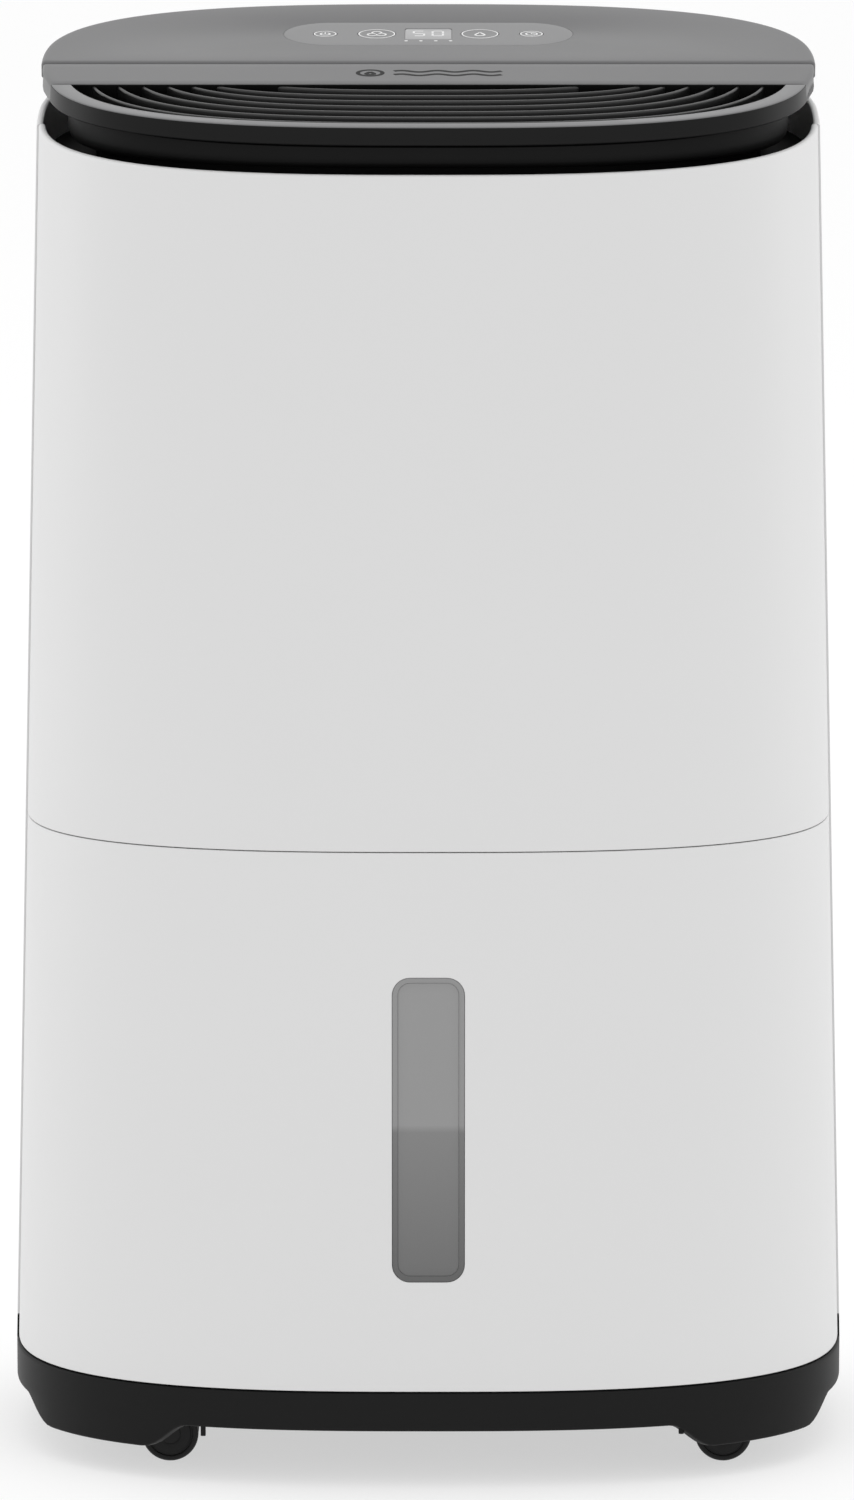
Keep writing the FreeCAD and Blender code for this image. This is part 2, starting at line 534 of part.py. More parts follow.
tank_plug_room = box(("-tank_width / 2 + tank_wall + 2.5", "tank_front_y + tank_wall + 2.5", f"{lid_z} - 5"),
                     ("tank_width - 2 * tank_wall - 5", "tank_back_y - tank_front_y - 2 * tank_wall - 5", "5"))
pivot_z = f"{lid_z} + tank_lid_thick + handle_bar_radius + 1"
posts = []
for side in (-1, 1):
    posts.append(box((f"{side} * handle_x - 2", "handle_y - 4", f"{lid_z} + 1"),
                     ("4", "8", "tank_lid_thick + handle_bar_radius + 3")))
post_bores = [cylinder(("-handle_x - 8", "handle_y", pivot_z), "2 + running_gap", "2 * handle_x + 16", "X")]
drip_hole = cylinder(("0", "0", f"{lid_z} - 8"), "12", "20")
node("tank_lid", cut(fuse(cut(fuse(tank_plate, tank_plug), tank_plug_room), *posts), *post_bores, drip_hole))
handle_bits = [cylinder(("-handle_x - 6", "handle_y - handle_arm", pivot_z), "handle_bar_radius",
                        "2 * handle_x + 12", "X")]
for side in (-1, 1):
    arm_x = f"{side} * (handle_x + 4.5)"
    handle_bits.append(box((f"{arm_x} - 2", "handle_y - handle_arm", f"{pivot_z} - handle_bar_radius"),
                           ("4", "handle_arm", "2 * handle_bar_radius")))
    handle_bits.append(cylinder((f"{arm_x} - 2", "handle_y", pivot_z), "handle_bar_radius", "4", "X"))
    handle_bits.append(cylinder((f"{side} * handle_x - 2.5 + {side} * 2", "handle_y", pivot_z), "2", "5", "X"))
node("tank_handle", fuse(*handle_bits))
float_y = "tank_back_y - tank_wall - 8"
float_arm = box(("float_x - 4", f"{float_y} - float_arm", "float_pivot_z - 2"), ("8", "float_arm", "4"))
float_hub = cylinder(("float_x - 4", float_y, "float_pivot_z"), "4", "8", "X")
float_block = box(("float_x - 14", f"{float_y} - float_arm - 12", "float_pivot_z - 16"), ("28", "24", "18"))
float_bore = cylinder(("float_x - 20", float_y, "float_pivot_z"), "float_pin_radius + running_gap", "40", "X")
magnet_spot = ("float_x", f"{float_y} - float_arm", "float_pivot_z - 3")
node("tank_float", cut(fuse(float_arm, float_hub, float_block), float_bore,
                       cylinder(magnet_spot, "4", "10")))
node("float_magnet", cylinder(magnet_spot, "4", "4"))
node("float_pin", cylinder(("float_x - 9", float_y, "float_pivot_z"), "float_pin_radius", "18", "X"))
float_brackets = []
for x in ("float_x - 9", "float_x + 6"):
    bracket = box((x, float_y + " - 4", "float_pivot_z - 5"), ("3", "12", "10"))
    float_brackets.append(bracket)
bracket_bore = cylinder(("float_x - 20", float_y, "float_pivot_z"), "float_pin_radius", "40", "X")
node("float_bracket", group(*[cut(bracket, bracket_bore) for bracket in float_brackets]))

# ---------------------------------------------------------------- bay wall, drip tray and cooling circuit
bay_wall = block(base_top + 1, size("tray_z"), wall + gap + 1).common(
    region(-FAR, FAR, size("bay_wall_y"), size("bay_wall_y") + size("bay_wall_thick"), 0, FAR))
bay_wall = bay_wall.cut(region(-FAR, -154, 0, FAR, 0, 82)).cut(region(154, FAR, 0, FAR, 0, 82))
node("tank_bay_wall", feature(bay_wall))
node("tank_switch", box(("float_x - 12", "bay_wall_y + bay_wall_thick", "float_pivot_z - 12"), ("24", "9", "24")))

tray_solid = block(size("tray_z"), size("tray_z") + 14, wall + gap + 2).common(region(-FAR, FAR, -16, size("filter_y") + 2, 0, FAR))
tray_room = block(size("tray_z") + 2.5, size("tray_z") + 15, wall + gap + 4.5).common(
    region(-FAR, FAR, -13.5, size("filter_y") - 0.5, 0, FAR))
spout = cylinder(("0", "0", "tray_z - 30"), "8", "31")
spout_bore = cylinder(("0", "0", "tray_z - 40"), "5", "60")
drain_tube = cylinder(("drain_x", "cabinet_depth / 2 - 29", "drain_z"), "8", "14", "Y")
drain_hole = cylinder(("drain_x", "cabinet_depth / 2 - 34", "drain_z"), "drain_bore", "40", "Y")
pipe_holes = [
    cylinder(("-coil_width / 2 - 22", "condenser_y + condenser_depth / 2", "tray_z - 5"), "pipe_radius + 1.5", "40"),
    cylinder(("coil_width / 2 + 22", "evaporator_y + evaporator_depth / 2", "tray_z - 5"), "pipe_radius + 1.5", "40"),
]
node("drip_tray", cut(fuse(cut(feature(tray_solid), feature(tray_room)), spout, drain_tube),
                      spout_bore, drain_hole, *pipe_holes))
plug_head = common(cylinder(("drain_x", "cabinet_depth / 2 - 14.7", "drain_z"), "plug_radius", "30", "Y"),
                   feature(block(base_top, 500, 0.4)))
plug_stem = cylinder(("drain_x", "cabinet_depth / 2 - 26", "drain_z"), "drain_bore - running_gap", "12", "Y")
node("drain_plug", fuse(plug_head, plug_stem))

compressor_can = cylinder(("compressor_x", "compressor_y", "compressor_base"), "compressor_radius",
                          "compressor_height")
dome = common(sphere(("compressor_x", "compressor_y", "compressor_base + compressor_height - 25"),
                     "compressor_radius * 1.12"),
              cylinder(("compressor_x", "compressor_y", "compressor_base + compressor_height - 1"),
                       "compressor_radius", "40"))
MOUNTS = [(-1, -0.55), (1, -0.55), (0, 0.8)]
foot_plate = cylinder(("compressor_x", "compressor_y", "compressor_base - 2"), "compressor_radius + 3", "4")
node("compressor", fuse(compressor_can, dome, foot_plate))
node("compressor_mounts", group(*[
    cylinder((f"compressor_x + {a} * 28", f"compressor_y + {b} * 34", "base_bottom + base_floor"), "8",
             "compressor_base - 2 - base_bottom - base_floor") for a, b in MOUNTS]))
node("suction_accumulator", cylinder(("compressor_x + compressor_radius + accumulator_gap",
                                      "evaporator_y + evaporator_depth / 2", "accumulator_bottom"),
                                     "accumulator_radius", "accumulator_length"))


def coil(label, depth_start, depth):
    """A fin pack with straight tubes through it and return bends joining them in a line."""
    start = "-coil_width / 2"
    fins = box((start, depth_start, "coil_bottom"), ("coil_width", depth, "coil_height"))
    middle = f"{depth_start} + {depth} / 2"
    pitch = size("coil_height") / size("coil_tubes")
    tubes = []
    for index in range(int(size("coil_tubes"))):
        height = f"coil_bottom + coil_height / coil_tubes * ({index} + 0.5)"
        tubes.append(cylinder((f"{start} - 6", middle, height), "coil_tube_radius", "coil_width + 12", "X"))
    for index in range(int(size("coil_tubes")) - 1):
        side = 1 if index % 2 == 0 else -1
        height = f"coil_bottom + coil_height / coil_tubes * ({index} + 0.5)"
        tubes.append(cylinder((f"{side} * (coil_width / 2 + 3)", middle, height), "coil_tube_radius - 0.5",
                              "coil_height / coil_tubes"))
    pipework = fuse(*tubes)
    node(f"{label}_tubes", pipework)
    node(f"{label}_fins", cut(fins, pipework))


coil("evaporator", "evaporator_y", "evaporator_depth")
coil("condenser", "condenser_y", "condenser_depth")


def pipe_run(points, radius):
    """Straight runs of pipe with round elbows."""
    pieces = []
    for first, last in zip(points, points[1:]):
        start = FreeCAD.Vector(*first)
        run = FreeCAD.Vector(*last) - start
        pieces.append(Part.makeCylinder(radius, run.Length, start, run))
    for corner in points[1:-1]:
        pieces.append(Part.makeSphere(radius, FreeCAD.Vector(*corner)))
    return pieces[0].fuse(pieces[1:]).removeSplitter()


radius = size("pipe_radius")
can_top = size("compressor_base") + size("compressor_height")
can_x = size("compressor_x")
can_y = size("compressor_y")
drum_x = can_x + size("compressor_radius") + size("accumulator_gap")
drum_top = size("accumulator_bottom") + size("accumulator_length")
tray_z = size("tray_z")
side_x = size("coil_width") / 2 + 22
hot_y = size("condenser_y") + size("condenser_depth") / 2
cold_y = size("evaporator_y") + size("evaporator_depth") / 2
tube_pitch = size("coil_height") / size("coil_tubes")
first_tube = size("coil_bottom") + tube_pitch / 2
tube_end = size("coil_width") / 2 + 6.6
dome_top = can_top - 25 + size("compressor_radius") * 1.12
hot_line = pipe_run([(can_x, can_y, dome_top + 0.05), (can_x, can_y, can_top + 50), (-side_x, can_y, can_top + 50),
                     (-side_x, hot_y, can_top + 50), (-side_x, hot_y, first_tube), (-tube_end, hot_y, first_tube)],
                    radius)
cold_line = pipe_run([(drum_x, cold_y, drum_top + 0.05), (drum_x, cold_y, 280), (side_x, cold_y, 280),
                      (side_x, cold_y, first_tube), (tube_end, cold_y, first_tube)], radius)
pipe_form = feature(Part.makeCompound([hot_line, cold_line]))
node("refrigerant_pipes", pipe_form)

# ---------------------------------------------------------------- fan
fan_z = "fan_z"


def scroll_body(shrink, start, length):
    drum = cylinder(("0", start, fan_z), f"scroll_radius - {shrink}", length, "Y")
    throat = box((shrink, start, fan_z), (f"scroll_radius - 2 * {shrink}", length, "scroll_top - fan_z"))
    return fuse(drum, throat)


scroll_outer = scroll_body("0", "scroll_front", "scroll_back - scroll_front")
scroll_inner = scroll_body("scroll_wall", "scroll_front + scroll_wall", "scroll_back - scroll_front - 2 * scroll_wall")
throat_mouth = box(("scroll_wall", "scroll_front + scroll_wall", "fan_z + 50"),
                   ("scroll_radius - 2 * scroll_wall", "scroll_back - scroll_front - 2 * scroll_wall", "100"))
inlet = cylinder(("0", "scroll_back - 10", fan_z), "inlet_radius", "20", "Y")
node("fan_scroll", cut(scroll_outer, scroll_inner, throat_mouth, inlet))
node("fan_motor", cut(cylinder(("0", "scroll_front + scroll_wall", fan_z), "motor_radius", "motor_length", "Y"),
                      cylinder(("0", "-100", fan_z), "shaft_radius + running_gap", "200", "Y")))
node("fan_shaft", cylinder(("0", "scroll_front + scroll_wall + 10", fan_z), "shaft_radius", "62", "Y"))
plate = cylinder(("0", "impeller_y", fan_z), "impeller_radius", "2", "Y")
hub = cylinder(("0", "impeller_y", fan_z), "12", "26", "Y")
shroud = cut(cylinder(("0", "impeller_y + impeller_depth", fan_z), "impeller_radius", "2", "Y"),
             cylinder(("0", "impeller_y + impeller_depth - 1", fan_z), "impeller_radius - blade_chord", "4", "Y"))
blade_set = []
for index in range(int(size("blades"))):
    blade = Part.makeBox(1.6, size("impeller_depth"), size("blade_chord") - 0.4, FreeCAD.Vector(
        -0.8, size("impeller_y") + 1, size("fan_z") + size("impeller_radius") - size("blade_chord") + 0.2))
    blade.rotate(FreeCAD.Vector(0, 0, size("fan_z")), FreeCAD.Vector(0, 1, 0), 360 / size("blades") * index)
    blade_set.append(blade)
node("fan_impeller", cut(fuse(plate, hub, shroud, feature(Part.makeCompound(blade_set))),
                         cylinder(("0", "-100", fan_z), "shaft_radius", "200", "Y")))

# ---------------------------------------------------------------- filter
filter_block = block(size("filter_bottom"), size("filter_bottom") + size("filter_height"), 0.4).common(
    region(-size("filter_width") / 2, size("filter_width") / 2, size("filter_y"), FAR, 0, FAR))
slots = []
slot_count = int((size("filter_height") - 20) // size("slot_pitch"))
first_slot = size("filter_bottom") + (size("filter_height") - (slot_count - 1) * size("slot_pitch")) / 2
for index in range(slot_count):
    middle = first_slot + index * size("slot_pitch")
    slot_end = size("filter_width") / 2 - 8
    for x_low, x_high in ((-slot_end, -4), (4, slot_end)):
        slots.append(region(x_low, x_high, 0, FAR, middle - size("slot_height") / 2,
                            middle + size("slot_height") / 2))
node("filter_frame", feature(filter_block.cut(slots)))
node("prefilter_mesh", box(("-filter_width / 2 + 4", "filter_y - 1.5", "filter_bottom + 4"),
                           ("filter_width - 8", "1.5", "filter_height - 8")))
node("carbon_filter", box(("-filter_width / 2 + 5", "filter_y - 9.5", "filter_bottom + 5"),
                          ("filter_width - 10", "8", "filter_height - 10")))

# ---------------------------------------------------------------- electrics and fasteners
node("main_board", box(("main_board_x", "main_board_y", "main_board_z"),
                       ("main_board_width", "board_thick", "main_board_height")))
node("run_capacitor", cylinder(("capacitor_x", "capacitor_y", "main_board_z"), "capacitor_radius",
                               "capacitor_length"))
node("humidity_sensor", box(("sensor_x", "sensor_y", "sensor_z"), ("10", "22", "16")))
socket = box(("inlet_x - inlet_width / 2", "cabinet_depth / 2 - 26", "inlet_z - inlet_height / 2"),
             ("inlet_width", "30", "inlet_height"))
socket_room = box(("inlet_x - inlet_width / 2 + 3", "cabinet_depth / 2 - 20", "inlet_z - inlet_height / 2 + 3"),
                  ("inlet_width - 6", "40", "inlet_height - 6"))
node("power_inlet", common(cut(socket, socket_room), feature(block(base_top, 200, 0.3))))
screws = []
for x, y in SCREW_SPOTS:
    shank = cylinder((x, y, "base_bottom + base_floor - 2"), "1.7", "35")
    head = cylinder((x, y, "base_bottom + base_floor"), "4", "3")
    screws.append(fuse(shank, head))
node("case_screws", group(*screws))

# ---------------------------------------------------------------- check and write
doc.recompute()
for item in doc.Objects:
    if "Invalid" in item.State or "Error" in item.State:
        raise RuntimeError(f"{item.Label} did not compute: {item.State}")
for item in nodes:
    if item.Shape.isNull() or not item.Shape.isValid():
        raise RuntimeError(f"{item.Label} has no valid shape")
for item in nodes:
    item.Shape.exportStep(f"parts/{item.Label}.step")
    print(item.Label, len(item.Shape.Solids), round(item.Shape.Volume / 1000, 2))
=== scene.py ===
# %% [markdown]
# # Dressing a dehumidifier
# The engineering model gives every part its place. This file gives the parts that show their
# finished surfaces: a tapered white case, a floating dark lid, a ribbed air outlet and black castors.
# All shapes are worked out in millimetres and turned to metres when a mesh is made.

# %% Load the frame
import math

import bpy
import numpy as np
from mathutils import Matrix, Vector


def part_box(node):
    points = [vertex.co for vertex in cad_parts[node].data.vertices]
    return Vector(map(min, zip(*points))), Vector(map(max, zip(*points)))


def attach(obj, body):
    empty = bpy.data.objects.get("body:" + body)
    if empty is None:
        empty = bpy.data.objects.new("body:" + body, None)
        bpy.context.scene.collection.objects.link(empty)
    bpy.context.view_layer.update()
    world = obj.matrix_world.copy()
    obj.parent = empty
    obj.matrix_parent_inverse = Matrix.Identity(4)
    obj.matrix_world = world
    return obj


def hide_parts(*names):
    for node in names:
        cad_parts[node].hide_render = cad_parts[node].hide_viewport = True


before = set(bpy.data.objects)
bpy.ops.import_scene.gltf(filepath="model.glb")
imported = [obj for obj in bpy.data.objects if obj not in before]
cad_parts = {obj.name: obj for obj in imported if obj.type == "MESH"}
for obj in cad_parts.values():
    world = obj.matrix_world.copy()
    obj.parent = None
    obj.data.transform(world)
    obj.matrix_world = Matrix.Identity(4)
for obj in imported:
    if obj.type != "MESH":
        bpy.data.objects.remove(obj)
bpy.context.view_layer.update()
MM = 0.001


def node_box(node):
    """Lowest and highest corners of an engineering part, in millimetres."""
    return [np.array(corner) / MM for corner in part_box(node)]


# %% [markdown]
# ## Sizes that everything follows
# The case is one outline, a superellipse |x/a|^n + |y/b|^n = 1, which leans inwards as it rises.
# A plain rounded rectangle would show a line where its corners begin; the superellipse has none.

# %% The case outline and its two sloping planes
base_low, base_high = node_box("base_tray")
HALF_WIDTH = base_high[0]
HALF_DEPTH = min(base_high[1], -base_low[1])
SQUARENESS = 2.8
LEAN = math.tan(math.radians(1.37))
BASE_TOP = 42.5
BASE_BOTTOM = 25.7
WALL = 3.0
SPLIT_Y = -18.0
SEAM_GAP = 0.7
FRONT_STEP = 0.9
TANK_SEAM = node_box("front_housing")[0][2]
RIM_MIDDLE = 590.5
RIM_SLOPE = math.tan(math.radians(7.87))
LID_ANGLE = math.radians(8.41)
LID_MIDDLE = 612.2
LID_THICK = 8.3
LID_NORMAL = np.array([0, -math.sin(LID_ANGLE), math.cos(LID_ANGLE)])


def squircle(theta, half_width, half_depth, power=SQUARENESS):
    """Points of |x/a|^n + |y/b|^n = 1 at polar angle theta: r = (|cos/a|^n + |sin/b|^n)^(-1/n)."""
    cos, sin = np.cos(theta), np.sin(theta)
    radius = (np.abs(cos / half_width) ** power + np.abs(sin / half_depth) ** power) ** (-1 / power)
    return radius * cos, radius * sin


def inset_at(z):
    """How far the leaning wall has come in at height z."""
    return LEAN * np.maximum(z - BASE_TOP, 0)


def rim_height(y):
    """Height of the white rim's sloping plane over depth y."""
    return RIM_MIDDLE + RIM_SLOPE * y


def on_lid(x, y, rise):
    """A point over (x, y) on the lid's top plane, moved out along the plane's normal by rise."""
    x, y, rise = np.broadcast_arrays(*[np.asarray(value, float) for value in (x, y, rise)])
    flat = np.stack([x, y, LID_MIDDLE + math.tan(LID_ANGLE) * y], -1)
    return flat + rise[..., None] * LID_NORMAL


print("case", round(2 * HALF_WIDTH, 1), "x", round(2 * HALF_DEPTH, 1), "mm")
print("tank seam at", round(TANK_SEAM, 1), "mm")

# %% [markdown]
# ## Turning grids into solids
# Every shell here is a stack of closed rings of points. Neighbouring rings are stitched with quads.
# The last ring either meets the first, as in a tyre, or both ends are closed with a face.
# The signed volume tells which way the faces point, so each solid is turned right side out.

# %% Skins, solids and cutters


def skin(rings, joined=False):
    """Stitch rings (rows, columns, 3) into faces; face order is flipped if the volume comes out negative."""
    rings = np.asarray(rings, float)
    rows, columns = rings.shape[:2]
    index = np.arange(rows * columns).reshape(rows, columns)
    low, high = (index, np.roll(index, -1, axis=0)) if joined else (index[:-1], index[1:])
    quads = np.stack([low, np.roll(low, -1, axis=1), np.roll(high, -1, axis=1), high], -1).reshape(-1, 4)
    faces = quads.tolist()
    if not joined:
        faces += [index[0][::-1].tolist(), index[-1].tolist()]
    points = rings.reshape(-1, 3)
    middle = points.mean(axis=0)
    volume = 0.0
    for a, b, c in ((0, 1, 2), (0, 2, 3)):
        first, second, third = [points[quads[:, k]] - middle for k in (a, b, c)]
        volume += np.einsum("ij,ij->", first, np.cross(second, third))
    if not joined:
        for ring, sign in ((rings[0], -1), (rings[-1], 1)):
            hub = ring.mean(axis=0) - middle
            rim = ring - middle
            volume += sign * np.einsum("ij,ij->", np.broadcast_to(hub, rim.shape),
                                       np.cross(rim, np.roll(rim, -1, axis=0)))
    if volume < 0:
        faces = [face[::-1] for face in faces]
    return points, faces


def mesh_object(name, skins):
    """One mesh from several closed skins, smooth except across edges sharper than 35 degrees."""
    points, faces, start = [], [], 0
    for skin_points, skin_faces in skins:
        points.append(skin_points * MM)
        faces += [[corner + start for corner in face] for face in skin_faces]
        start += len(skin_points)
    mesh = bpy.data.meshes.new(name)
    mesh.from_pydata(np.concatenate(points).tolist(), [], faces)
    mesh.polygons.foreach_set("use_smooth", np.ones(len(mesh.polygons), bool))
    mesh.set_sharp_from_angle(angle=math.radians(35))
    thing = bpy.data.objects.new(name, mesh)
    bpy.context.scene.collection.objects.link(thing)
    return thing


def carve(thing, cutters):
    """Take the cutters out of a piece with an exact boolean, then apply it."""
    for cutter in cutters:
        step = thing.modifiers.new("cut", "BOOLEAN")
        step.operation = "DIFFERENCE"
        step.solver = "EXACT"
        step.object = cutter
    graph = bpy.context.evaluated_depsgraph_get()
    carved = bpy.data.meshes.new_from_object(thing.evaluated_get(graph))
    thing.modifiers.clear()
    thing.data = carved
    carved.polygons.foreach_set("use_smooth", np.ones(len(carved.polygons), bool))
    carved.set_sharp_from_angle(angle=math.radians(30))
    for cutter in cutters:
        bpy.data.objects.remove(cutter)


pieces = {}


def settle(thing, body, material, slot, *nodes):
    """Give a finished piece its material, its body and the engineering parts it stands for."""
    thing.data.materials.clear()
    thing.data.materials.append(material)
    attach(thing, body)
    if nodes:
        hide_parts(*nodes)
    pieces[thing.name] = thing
    return thing


def make(name, skins, body, material, slot, *nodes):
    """Build a piece from closed skins and settle it."""
    return settle(mesh_object(name, skins), body, material, slot, *nodes)


print("skins, cuts and settling are ready")

# %% [markdown]
# ### Small outlines
# Plates, holes and bars start from a flat outline. It is stacked through levels, carried straight
# along an axis, or turned about one.

# %% Small outlines used again and again


def rounded_rectangle(half_width, half_height, radius, per_corner=9):
    """Four quarter circles joined by straight sides, as an open list of (u, v) points."""
    sweep = np.linspace(0, math.pi / 2, per_corner)
    angle = (sweep[None, :] + np.arange(4)[:, None] * math.pi / 2).ravel()
    signs = np.array([[1, 1], [-1, 1], [-1, -1], [1, -1]]).repeat(per_corner, axis=0)
    centre = signs * np.array([half_width - radius, half_height - radius])
    return centre + radius * np.stack([np.cos(angle), np.sin(angle)], -1)


def revolved(profile, centre, axis, count=64):
    """Turn (radius, along) pairs about an axis through centre; axis is 0, 1 or 2."""
    profile = np.asarray(profile, float)
    turn = np.linspace(0, 2 * math.pi, count, endpoint=False)
    across = [side for side in (0, 1, 2) if side != axis]
    points = np.zeros((len(profile), count, 3))
    points[..., across[0]] = profile[:, :1] * np.cos(turn)
    points[..., across[1]] = profile[:, :1] * np.sin(turn)
    points[..., axis] = profile[:, 1:]
    return points + np.asarray(centre, float)


def layered(outline, levels, place):
    """Stack one (u, v) outline through levels of (grow, depth); place turns u, v, depth to a point."""
    rings = []
    for grow, depth in levels:
        shape = outline(grow)
        rings.append(place(shape[:, 0], shape[:, 1], np.full(len(shape), float(depth))))
    return np.array(rings)


def prism(outline, levels, axis=2):
    """Carry one flat (u, v) outline straight along an axis through the levels, as a closed solid."""
    across = [side for side in (0, 1, 2) if side != axis]
    rings = np.zeros((len(levels), len(outline), 3))
    rings[..., across] = outline
    rings[..., axis] = np.asarray(levels, float)[:, None]
    return skin(rings)


print("a rounded bar has", len(prism(rounded_rectangle(2, 1, 0.5), (0, 1))[1]), "faces")


# %% [markdown]
# ## Materials
# The case is injection-moulded ABS. Its mould is spark-eroded, so the skin has a very fine grain that
# softens highlights. Lid, outlet and base are the same process in charcoal and black.
# Each plastic is one shader with a fine bump in real millimetres and a slow change of roughness,
# because moulded parts flow and cool unevenly.

# %% Colour and node helpers


def linear(hex_code):
    """An sRGB hex colour as linear RGBA."""
    parts = [int(hex_code[k:k + 2], 16) / 255 for k in (1, 3, 5)]
    return tuple(p / 12.92 if p <= 0.04045 else ((p + 0.055) / 1.055) ** 2.4 for p in parts) + (1.0,)


def add(tree, kind, settings=(), links=()):
    """Add a node, set its properties or inputs from pairs, and link inputs from other sockets."""
    item = tree.nodes.new(kind)
    for key, value in settings:
        if isinstance(key, str) and hasattr(item, key):
            setattr(item, key, value)
        else:
            item.inputs[key].default_value = value
    for key, source in links:
        tree.links.new(source, item.inputs[key])
    return item


def blank(name):
    """A material with only a shader and an output."""
    material = bpy.data.materials.new(name)
    material.use_nodes = True
    tree = material.node_tree
    tree.nodes.clear()
    shader = add(tree, "ShaderNodeBsdfPrincipled")
    add(tree, "ShaderNodeOutputMaterial", links=[("Surface", shader.outputs["BSDF"])])
    coordinates = add(tree, "ShaderNodeTexCoord")
    return material, tree, shader, coordinates.outputs["Object"]


def grained(name, tint, roughness, grain_mm, bump_mm, settings=(), drift=0.05, tone=0.03):
    """A moulded surface: grain of a real pitch as bump, with slowly drifting roughness and tone."""
    material, tree, shader, where = blank(name)
    grain = add(tree, "ShaderNodeTexNoise", [("Scale", 1 / (grain_mm * MM)), ("Detail", 2.0)],
                [("Vector", where)])
    bump = add(tree, "ShaderNodeBump", [("Strength", 0.6), ("Distance", bump_mm * MM)],
               [("Height", grain.outputs["Fac"])])
    slow = add(tree, "ShaderNodeTexNoise", [("Scale", 9.0), ("Detail", 3.0)], [("Vector", where)])
    rough = add(tree, "ShaderNodeMapRange", [("To Min", roughness - drift), ("To Max", roughness + drift)],
                [("Value", slow.outputs["Fac"])])
    darker, lighter = [tuple(min(1, c * (1 + step)) for c in linear(tint)[:3]) + (1,)
                       for step in (-tone, tone)]
    shade = add(tree, "ShaderNodeMix", [("data_type", "RGBA"), (6, darker), (7, lighter)],
                [(0, slow.outputs["Fac"])])
    tree.links.new(shade.outputs[2], shader.inputs["Base Color"])
    tree.links.new(rough.outputs["Result"], shader.inputs["Roughness"])
    tree.links.new(bump.outputs["Normal"], shader.inputs["Normal"])
    for key, value in settings:
        shader.inputs[key].default_value = value
    return material


print("the case's white in linear light:", round(linear("#D8D8D8")[0], 3))

# %% The plastics
# Spark-eroded ABS: satin, the grain is about 0.3 mm and is drawn at 0.8 mm so that it shows.
WHITE_ABS = grained("white_moulded_abs", "#D8D8D8", 0.45, 0.8, 0.006, [("IOR", 1.5)], tone=0.008)
# Charcoal ABS for the lid: a finer, tighter satin that picks up light from behind.
CHARCOAL_ABS = grained("charcoal_moulded_abs", "#5A5A5B", 0.4, 0.6, 0.004, [("IOR", 1.5)], tone=0.015)
# The panel's mould is polished: smoother and a shade lighter, so its pill shape reads on the lid.
PANEL_ABS = grained("charcoal_polished_panel", "#6D6D6E", 0.36, 0.6, 0.002, [("IOR", 1.5)], tone=0.01)
# The outlet's facing is the lid's charcoal polished a little more, painted a shade lighter as a highlight:
# the light its top catches when seen edge on.
RIM_HIGHLIGHT_ABS = grained("charcoal_rim_painted_highlight", "#6A6A6B", 0.34, 0.6, 0.003, [("IOR", 1.5)], tone=0.01)
# Black ABS for the outlet and neck: dark, with a soft sheen only at a low angle.
OUTLET_ABS = grained("black_outlet_abs", "#0D0D0D", 0.34, 0.7, 0.006, [("Specular IOR Level", 0.16)])
# The ribs come out of the mould shinier, so their top edges catch the light.
RIB_ABS = grained("black_rib_abs", "#121212", 0.28, 0.7, 0.004, [("Specular IOR Level", 0.55)])
# The trough is the same black left rougher, so it stays dark and the lid seems to float.
TROUGH_ABS = grained("black_trough_abs", "#0C0C0C", 0.55, 0.7, 0.01, [("Specular IOR Level", 0.12)])
# Moulded polypropylene is duller than ABS, which gives the base a dry, matt look.
BASE_PP = grained("black_polypropylene", "#121212", 0.5, 0.9, 0.012, [("Specular IOR Level", 0.15)])
# Moulded nylon webs keep a narrow, waxy highlight; the rubber treads have a broad, dull one.
CASTOR_NYLON = grained("black_castor_nylon", "#131313", 0.4, 0.5, 0.01, [("Specular IOR Level", 0.25)])
TREAD_RUBBER = grained("castor_tread_rubber", "#181818", 0.55, 0.5, 0.02, [("Specular IOR Level", 0.25)])
# Unpainted ABS inside the machine: pale grey and plain.
INNER_ABS = grained("natural_inner_abs", "#A9ABAD", 0.5, 0.8, 0.015)
# Black ABS of the fan and its scroll: greyer and flatter than the outlet.
FAN_ABS = grained("black_fan_abs", "#1B1B1C", 0.5, 0.8, 0.012, [("Specular IOR Level", 0.3)])
# Closed-cell foam: cream and quite matt, with its cells drawn at 1.4 mm so that they show.
FOAM = grained("closed_cell_float_foam", "#D9D3BF", 0.85, 1.4, 0.15)
# Open foam dusted with carbon: nearly black, very rough and blotchy.
CARBON = grained("carbon_filter_foam", "#202022", 0.95, 2.2, 0.5, tone=0.2)
# Moulded rubber mounts: dark, with hardly any highlight.
MOUNT_RUBBER = grained("black_mount_rubber", "#19191A", 0.7, 0.6, 0.03)
# Stoved enamel on pressed steel: near black under a clear coat, with small sharp highlights.
ENAMEL = grained("black_stoved_enamel", "#111112", 0.22, 1.5, 0.006,
                 [("Coat Weight", 0.5), ("Coat Roughness", 0.1)])
# Moulded milky acrylic over the display: pale and smooth, and it hides the board behind.
MILKY = grained("milky_display_window", "#9C9C9D", 0.3, 0.6, 0.001, [("IOR", 1.5)], tone=0.01)
# Pad-printed inks: flat and opaque, with no grain to see.
PRINT_PALE = grained("pale_printed_legend", "#E2E2E2", 0.5, 0.3, 0.001)
PRINT_DARK = grained("dark_printed_mark", "#0C0C0C", 0.5, 0.3, 0.001, [("Specular IOR Level", 0.1)])
# Zinc-plated steel: a bright grey metal, slightly clouded.
STEEL = grained("zinc_plated_steel", "#B9BABC", 0.3, 0.4, 0.004, [("Metallic", 1.0)])
# Drawn copper tube: warm, with patches where it has dulled.
COPPER = grained("drawn_copper_tube", "#C87C52", 0.28, 0.9, 0.006, [("Metallic", 1.0)], tone=0.12)
